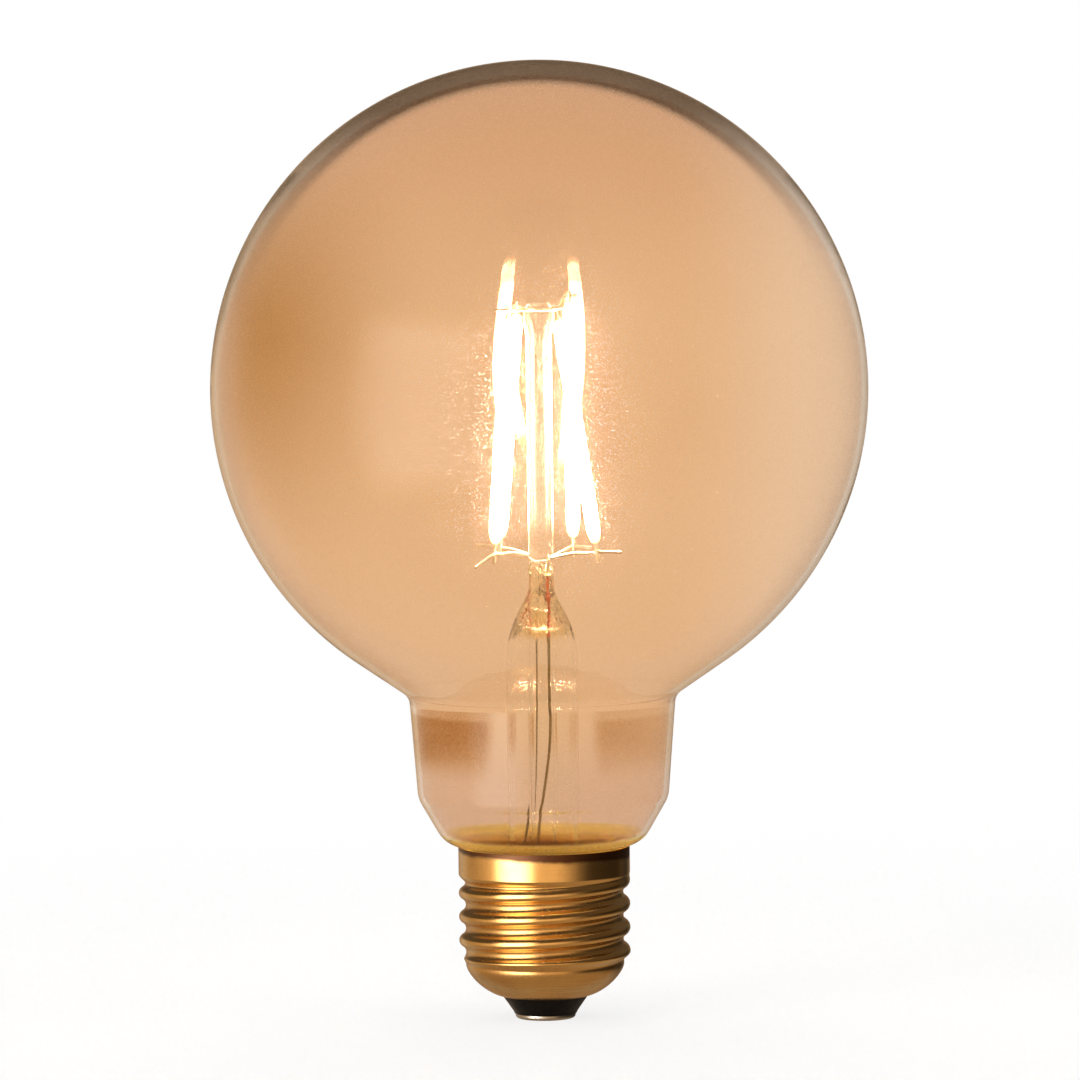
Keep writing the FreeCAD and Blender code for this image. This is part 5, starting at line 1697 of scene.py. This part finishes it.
@dataclass
class Wires:
    """The support wires and leads: a tree that draws round wire along a route."""

    mount: Mount
    support: Strand = Strand(0.25, bend_share=0.35, step=0.2, end_swell=0.12)
    lead: Strand = Strand(0.2, bend_share=0.45, step=0.35, end_swell=0.0)
    sides: int = 14
    board_hole: dict[str, Pair] = field(
        default_factory=lambda: {"front": (-0.9, -3.4), "back": (-3.3, 3.1)}
    )
    board_top: float = 12.0
    above_board: float = 3.0
    below_seal: float = 2.0
    lead_foot: float = 10.2
    lead_bows: dict[str, tuple[Pair, ...]] = field(
        default_factory=lambda: {
            "front": ((0.3, -0.15), (0.85, -0.3), (0.35, -0.35), (-0.6, 0.0), (-0.5, 0.0)),
            "back": ((0.3, 0.1), (0.55, 0.1), (0.65, -0.2), (0.05, -0.5), (-1.0, -0.9)),
        }
    )

    def recipe(self) -> Recipe:
        """The tree: a route drawn as round wire of even thickness, with slightly melted ends.

        Returns:
            The finished tree.
        """
        inputs = {
            "Radius": ("Float", self.support.radius), "Step": ("Float", self.support.step),
            "Sides": ("Int", self.sides), "End swell": ("Float", self.support.end_swell),
        }
        recipe = Recipe("drawn_wire", inputs)
        bench, given = recipe.bench, recipe.given
        route = {"Curve": recipe.source.outputs["Geometry"], "Length": given("Step") * MM}
        even = bench.add("GeometryNodeResampleCurve", route, mode="LENGTH")
        spline = bench.add("GeometryNodeSplineParameter")
        run = bench.number(spline.outputs["Length"]) / MM
        far = bench.number(bench.add("GeometryNodeSplineLength").outputs["Length"]) / MM - run
        near_end = 1.0 - (run.maths("MINIMUM", far) / (given("Radius") * 2.0)).eased()
        swell = near_end * given("End swell") + 1.0
        outline = {"Resolution": given("Sides"), "Radius": given("Radius") * MM}
        circle = bench.add("GeometryNodeCurvePrimitiveCircle", outline)
        drawn = {"Curve": even, "Profile Curve": circle, "Scale": swell, "Fill Caps": True}
        wire = bench.add("GeometryNodeCurveToMesh", drawn)
        smooth = bench.add("GeometryNodeSetShadeSmooth", {"Geometry": wire})
        recipe.end(smooth)
        return recipe

    @staticmethod
    def route(name: str, points: Sequence[Vector], bend_share: float) -> bpy.types.Object:
        """A bent route: straight runs whose corners are rounded by handles.

        Args:
            name: The route's name.
            points: Its corners in millimetres.
            bend_share: The share of the shorter neighbouring run that a bend takes.

        Returns:
            A curve object.
        """
        curve = bpy.data.curves.new(name, "CURVE")
        curve.dimensions = "3D"
        curve.resolution_u = 16
        knots: list[tuple[Vector, Vector, Vector]] = [(points[0], points[0], points[0])]
        for before, corner, after in zip(points, points[1:], points[2:]):
            reach = bend_share * min((corner - before).length, (after - corner).length)
            start = corner + (before - corner).normalized() * reach
            end = corner + (after - corner).normalized() * reach
            knots.append((start, start, start.lerp(corner, HANDLE_SHARE)))
            knots.append((end.lerp(corner, HANDLE_SHARE), end, end))
        knots.append((points[-1], points[-1], points[-1]))
        spline = curve.splines.new("BEZIER")
        spline.bezier_points.add(len(knots) - 1)
        for point, (left, place, right) in zip(spline.bezier_points, knots):
            point.handle_left_type = point.handle_right_type = "FREE"
            point.co = place * MM
            point.handle_left = left * MM
            point.handle_right = right * MM
        return new_object(name, curve)

    def lead_route(self, end: str) -> list[Vector]:
        """The slack route of an outer lead, from the seal wire down to the board.

        Args:
            end: Which lead, front or back.

        Returns:
            The route's corners.
        """
        x, y = self.mount.seal(end)
        hole = self.board_hole[end]
        top = Vector((x, y, self.mount.seal_foot))
        bottom = Vector((*hole, self.board_top + self.above_board))
        bows = self.lead_bows[end]
        runs = len(bows) + 1
        slack = [top.lerp(bottom, i / runs) + Vector((*bow, 0.0)) for i, bow in enumerate(bows, 1)]
        straight = top - Vector((0.0, 0.0, self.below_seal))
        return [top, straight, *slack, bottom, Vector((*hole, self.lead_foot))]

    def build(self) -> list[bpy.types.Object]:
        """Two cross wires, two top wires and two outer leads.

        Returns:
            The six pieces.
        """
        recipe = self.recipe()
        made = []
        mount, sides, ends = self.mount, ("left", "right"), ("front", "back")
        jobs = [(f"cross_wire_{side}", mount.cross_route(side), Look.NICKEL) for side in sides]
        jobs += [(f"top_wire_{row}", mount.top_route(row), Look.NICKEL) for row in ends]
        jobs += [(f"outer_lead_{end}", self.lead_route(end), Look.LEAD) for end in ends]
        for node, points, look in jobs:
            strand = self.lead if look is Look.LEAD else self.support
            base = self.route(node + "_route", points, strand.bend_share)
            wire = recipe.make(
                node + "_drawn", look, base,
                radius=strand.radius, step=strand.step, end_swell=strand.end_swell,
            )
            made.append(finished(wire, look, node))
        return made


@dataclass
class Filaments:
    """The four glowing bars: a tree that coats a row of light chips with phosphor."""

    mount: Mount
    radius: float = 1.05
    tip_radius: float = 0.3
    taper: float = 2.4
    fade: float = 3.6
    chips: int = 28
    rings_per_chip: float = 8.0
    sides: int = 24
    lump: float = 0.03
    fade_power: float = 4.0
    chip_glow: float = 0.12

    def recipe(self) -> Recipe:
        """The tree: a bar between two points, tapered at its ends and a little thicker over each chip.

        Returns:
            The finished tree.
        """
        inputs = {
            "Start": ("Vector", None), "End": ("Vector", None), "Radius": ("Float", self.radius),
            "Tip radius": ("Float", self.tip_radius), "Taper": ("Float", self.taper),
            "Lump": ("Float", self.lump), "Fade": ("Float", self.fade), "Chips": ("Int", self.chips),
        }
        recipe = Recipe("coated_chips", inputs)
        bench, given = recipe.bench, recipe.given
        line = bench.add(
            "GeometryNodeCurvePrimitiveLine",
            {"Start": recipe.source.outputs["Start"], "End": recipe.source.outputs["End"]},
        )
        count = given("Chips") * self.rings_per_chip + 1.0
        even = bench.add("GeometryNodeResampleCurve", {"Curve": line, "Count": count})
        spline = bench.add("GeometryNodeSplineParameter")
        share = bench.number(spline.outputs["Factor"])
        run = bench.number(spline.outputs["Length"]) / MM
        far = bench.number(bench.add("GeometryNodeSplineLength").outputs["Length"]) / MM - run
        end_gap = run.maths("MINIMUM", far)
        near = (end_gap / given("Taper")).clipped()
        roundness = (1.0 - (1.0 - near) ** 2.0).root()
        body = given("Tip radius") + (given("Radius") - given("Tip radius")) * roundness
        chip = (share * given("Chips") * (2 * math.pi)).cosine() * -0.5 + 0.5
        radius = body - given("Lump") * (1.0 - chip) * near
        fade = (end_gap / given("Fade")).clipped() ** self.fade_power
        glow = fade * (chip * self.chip_glow + (1.0 - self.chip_glow))
        stored = {"Geometry": even, "Name": "glow", "Value": glow}
        kept = bench.add("GeometryNodeStoreNamedAttribute", stored, data_type="FLOAT", domain="POINT")
        circle = bench.add("GeometryNodeCurvePrimitiveCircle", {"Resolution": self.sides, "Radius": 1.0})
        swept = {"Curve": kept, "Profile Curve": circle, "Scale": radius * MM, "Fill Caps": True}
        bar = bench.add("GeometryNodeCurveToMesh", swept)
        recipe.end(bench.add("GeometryNodeSetShadeSmooth", {"Geometry": bar}))
        return recipe

    def build(self) -> list[bpy.types.Object]:
        """One bar for each corner.

        Returns:
            The four pieces.
        """
        recipe = self.recipe()
        made = []
        for corner in self.mount.places:
            start, end = self.mount.phosphor(corner)
            ends = {"start": tuple(start * MM), "end": tuple(end * MM)}
            bar = recipe.make(f"filament_{corner}_lit", Look.PHOSPHOR, **ends)
            made.append(finished(bar, Look.PHOSPHOR, "filament_" + corner))
        return made


@dataclass
class CadPieces:
    """The CAD nodes whose shape stays, each dressed with the finish of its slot."""

    looks: dict[str, Look] = field(
        default_factory=lambda: {
            "basing_cement": Look.CEMENT,
            "cap_insulator": Look.BLACK_GLASS,
            "centre_contact": Look.CONTACT,
            "driver_board": Look.BOARD,
            "bridge_rectifier": Look.RESIN,
            "rectifier_legs": Look.TINNED,
            "current_regulator": Look.RESIN,
            "regulator_legs": Look.TINNED,
            "smoothing_capacitor": Look.CAN,
            "capacitor_legs": Look.TINNED,
            "fuse_resistor": Look.LACQUER,
            "fuse_legs": Look.TINNED,
            "live_wire": Look.RED_SLEEVE,
            "neutral_wire": Look.BLACK_SLEEVE,
            "neutral_solder": Look.TINNED,
            "seal_wire_front": Look.COPPER,
            "seal_wire_back": Look.COPPER,
            "inner_lead_front": Look.NICKEL,
            "inner_lead_back": Look.NICKEL,
            "tabs_front_left": Look.NICKEL,
            "tabs_front_right": Look.NICKEL,
            "tabs_back_left": Look.NICKEL,
            "tabs_back_right": Look.NICKEL,
        }
    )

    def build(self) -> list[bpy.types.Object]:
        """Gives each node its material.

        Returns:
            The CAD pieces that keep their meshes.
        """
        made = []
        for node, look in self.looks.items():
            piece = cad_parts[node]
            piece.data.materials.clear()
            piece.data.materials.append(look.value.material())
            made.append(piece)
        return made


# The studio


@dataclass
class Softbox:
    """One rectangular studio lamp, aimed at the lamp's middle."""

    name: str
    place: Triple
    size: Pair
    power: float
    colour: Colour = (1.0, 1.0, 1.0)
    target: Triple = (0.0, 0.0, 0.075)

    def build(self) -> bpy.types.Object:
        """The light, which only lights: what gloss shows is the painted room.

        Returns:
            The light's object.
        """
        light = bpy.data.lights.new(self.name, "AREA")
        light.shape = "RECTANGLE"
        light.size, light.size_y = self.size
        light.energy = self.power
        light.color = self.colour
        lamp = new_object(self.name, light)
        lamp.location = self.place
        aim = Vector(self.target) - lamp.location
        lamp.rotation_euler = aim.to_track_quat("-Z", "Y").to_euler()
        lamp.visible_camera = False
        lamp.visible_glossy = False
        lamp.visible_transmission = False
        return lamp


@dataclass
class Studio:
    """Camera, lights, floor and surroundings.

    Places are in metres and angles in degrees. A field with two values says where something starts and ends:
    the room's in parts of a direction, the floor's in metres from the lamp.
    """

    picture: int = 1080
    sensor_mm: float = 36.0
    focal_px: float = 6581.0
    camera_place: Triple = (-0.00012, -1.0, 0.1422)
    pitch_down: float = 3.946
    roll: float = -0.6
    floor_radius: float = 6.0
    floor_sides: int = 64
    floor_colour: Colour = (0.85, 0.85, 0.85)
    floor_white_share: float = 0.8
    floor_fade: Pair = (0.03, 0.3)
    fill: float = 0.55
    room_front: float = 1.0
    room_right: float = 0.05
    front_to_right: Pair = (0.95, 0.2)
    dimming: float = 0.5
    front_to_back: Pair = (-0.6, 0.5)
    strip_angle: float = 42.0
    strip_light: float = 4.5
    strip_sides: Pair = (0.84, 1.0)
    strip_top: Pair = (0.5, 0.3)
    strip_foot: Pair = (-0.6, -0.35)
    left_light: float = 0.6
    right_light: float = 0.04
    left_to_right: Pair = (-0.2, 0.2)
    wall_front: Pair = (0.5, 0.75)
    wall_back: Pair = (0.97, 0.88)
    back_light: float = 0.4
    back_right: float = 0.17
    back_edges: Pair = (0.85, 0.97)
    back_to_right: Pair = (0.0, 0.3)
    ceiling_light: float = 0.1
    ceiling_edges: Pair = (0.02, 0.22)
    ground_light: float = 0.4
    ground_edges: Pair = (-0.25, -0.6)
    warmth: Colour = (1.0, 0.66, 0.38)
    neutral: Colour = (1.0, 0.95, 0.88)
    max_bounces: int = 72
    glass_bounces: int = 40
    gloss_bounces: int = 56
    brightest_bounce: float = 80.0

    def camera(self) -> None:
        """The camera, placed and aimed as the photograph's was."""
        data = bpy.data.cameras.new("camera")
        data.sensor_width = self.sensor_mm
        data.lens = self.focal_px / self.picture * self.sensor_mm
        data.clip_end = 100.0
        camera = new_object("camera", data)
        tilt = Matrix.Rotation(math.radians(90.0 - self.pitch_down), 4, "X")
        roll = Matrix.Rotation(math.radians(self.roll), 4, "Z")
        camera.matrix_world = Matrix.Translation(self.camera_place) @ tilt @ roll
        bpy.context.scene.camera = camera

    def room(self, bench: Bench) -> tuple[Number, Number]:
        """The room in each direction, as polished surfaces show it.

        Args:
            bench: Where the nodes go.

        Returns:
            How bright it is: bright in front and almost dark on the right, with one strip of light to the
            left of the camera, a pale wall on the left, and dim behind and overhead. Then how neutral its
            light is, from 0 for warm to 1.
        """
        x, y, z = bench.axes(bench.add("ShaderNodeTexCoord").outputs["Generated"])
        level = (x * x + y * y).root().maths("MAXIMUM", 0.01)
        across, along = x / level, y / level
        angle = math.radians(self.strip_angle)
        strip = (across * -math.sin(angle) + along * -math.cos(angle)).ramp(*self.strip_sides)
        strip = strip * z.ramp(*self.strip_top) * z.ramp(*self.strip_foot)
        bright = across.ramp(*self.front_to_right)
        room = bright * (self.room_front - self.room_right) + self.room_right
        room = room * (1.0 - along.ramp(*self.front_to_back) * self.dimming)
        sides = along.ramp(*self.wall_front) * along.ramp(*self.wall_back)
        right = across.ramp(*self.left_to_right)
        room = room + (right * (self.right_light - self.left_light) + self.left_light - room) * sides
        right = across.ramp(*self.back_to_right)
        behind = right * (self.back_right - self.back_light) + self.back_light
        room = room + (behind - room) * along.ramp(*self.back_edges)
        room = room + (self.ground_light - room) * z.ramp(*self.ground_edges)
        room = room + (self.ceiling_light - room) * z.ramp(*self.ceiling_edges)
        room = room + (self.strip_light - room) * strip
        return room, (strip + sides * 0.5).clipped()

    def world(self) -> None:
        """White for the camera and through glass, and the painted room in gloss."""
        world = bpy.data.worlds.new("studio")
        world.use_nodes = True
        bench = Bench(world.node_tree)
        bench.tree.nodes.clear()
        path = bench.add("ShaderNodeLightPath")
        level, plain = self.room(bench)
        gloss = bench.number(path.outputs["Is Glossy Ray"])
        camera_ray = bench.number(path.outputs["Is Camera Ray"])
        seen = camera_ray.maths("MAXIMUM", path.outputs["Is Transmission Ray"])
        painted = bench.blend(plain, self.warmth, self.neutral)
        room = bench.blend(gloss, (1.0, 1.0, 1.0), painted)
        colour = bench.blend(seen, room, (1.0, 1.0, 1.0))
        strength = seen.choose(1.0, gloss.choose(level, self.fill))
        light = bench.add("ShaderNodeBackground", {"Color": colour, "Strength": strength})
        bench.add("ShaderNodeOutputWorld", {"Surface": light})
        bpy.context.scene.world = world

    def floor(self) -> None:
        """A pale floor that keeps the lamp's shadow near it and is plain white further off."""
        points = [(0.0, 0.0, 0.0)]
        count = self.floor_sides
        for i in range(count):
            angle = 2 * math.pi * i / count
            points.append((self.floor_radius * math.cos(angle), self.floor_radius * math.sin(angle), 0.0))
        faces = [(0, 1 + i, 1 + (i + 1) % count) for i in range(count)]
        mesh = bpy.data.meshes.new("floor")
        mesh.from_pydata(points, [], faces)
        floor = new_object("floor", mesh)
        material = bpy.data.materials.new("pale_floor")
        material.use_nodes = True
        bench = Bench(material.node_tree)
        bench.tree.nodes.clear()
        x, y, _ = bench.axes(bench.place())
        far = (x * x + y * y).root().ramp(*self.floor_fade)
        share = far * (1.0 - self.floor_white_share) + self.floor_white_share
        path = bench.add("ShaderNodeLightPath")
        camera_ray = bench.number(path.outputs["Is Camera Ray"])
        direct = camera_ray.maths("MAXIMUM", path.outputs["Is Transmission Ray"])
        matt = bench.add("ShaderNodeBsdfDiffuse", {"Color": self.floor_colour})
        white = bench.add("ShaderNodeEmission", {"Color": (1.0, 1.0, 1.0), "Strength": 1.0})
        mixed = bench.add("ShaderNodeMixShader", {0: direct * share, 1: matt, 2: white})
        bench.add("ShaderNodeOutputMaterial", {"Surface": mixed})
        mesh.materials.append(material)
        floor.visible_glossy = False

    def build(self) -> None:
        """Sets everything up."""
        scene = bpy.context.scene
        scene.view_settings.view_transform = "Standard"
        scene.cycles.max_bounces = self.max_bounces
        scene.cycles.transmission_bounces = self.glass_bounces
        scene.cycles.glossy_bounces = self.gloss_bounces
        scene.cycles.sample_clamp_indirect = self.brightest_bounce
        self.camera()
        self.world()
        self.floor()
        boxes = [
            Softbox("key_left", (-0.85, -0.75, 0.35), (0.5, 0.9), 9.0),
            Softbox("fill_right", (1.0, -0.3, 0.3), (0.3, 0.9), 4.0),
            Softbox("top_back", (0.0, 0.6, 1.0), (0.8, 0.5), 4.0),
        ]
        for box in boxes:
            box.build()


def main() -> None:
    """Builds the lamp piece by piece, then the studio."""
    logging.basicConfig(level=logging.INFO, format="%(name)s: %(message)s")
    mount = Mount()
    for maker in (GlassGlobe(), GlassStem(), ScrewShell(), Wires(mount), Filaments(mount), CadPieces()):
        for piece in maker.build():
            LOG.info("%s: %s, %d faces", type(maker).__name__, piece.name, len(piece.data.polygons))
    Studio().build()


if __name__ == "__main__":
    main()
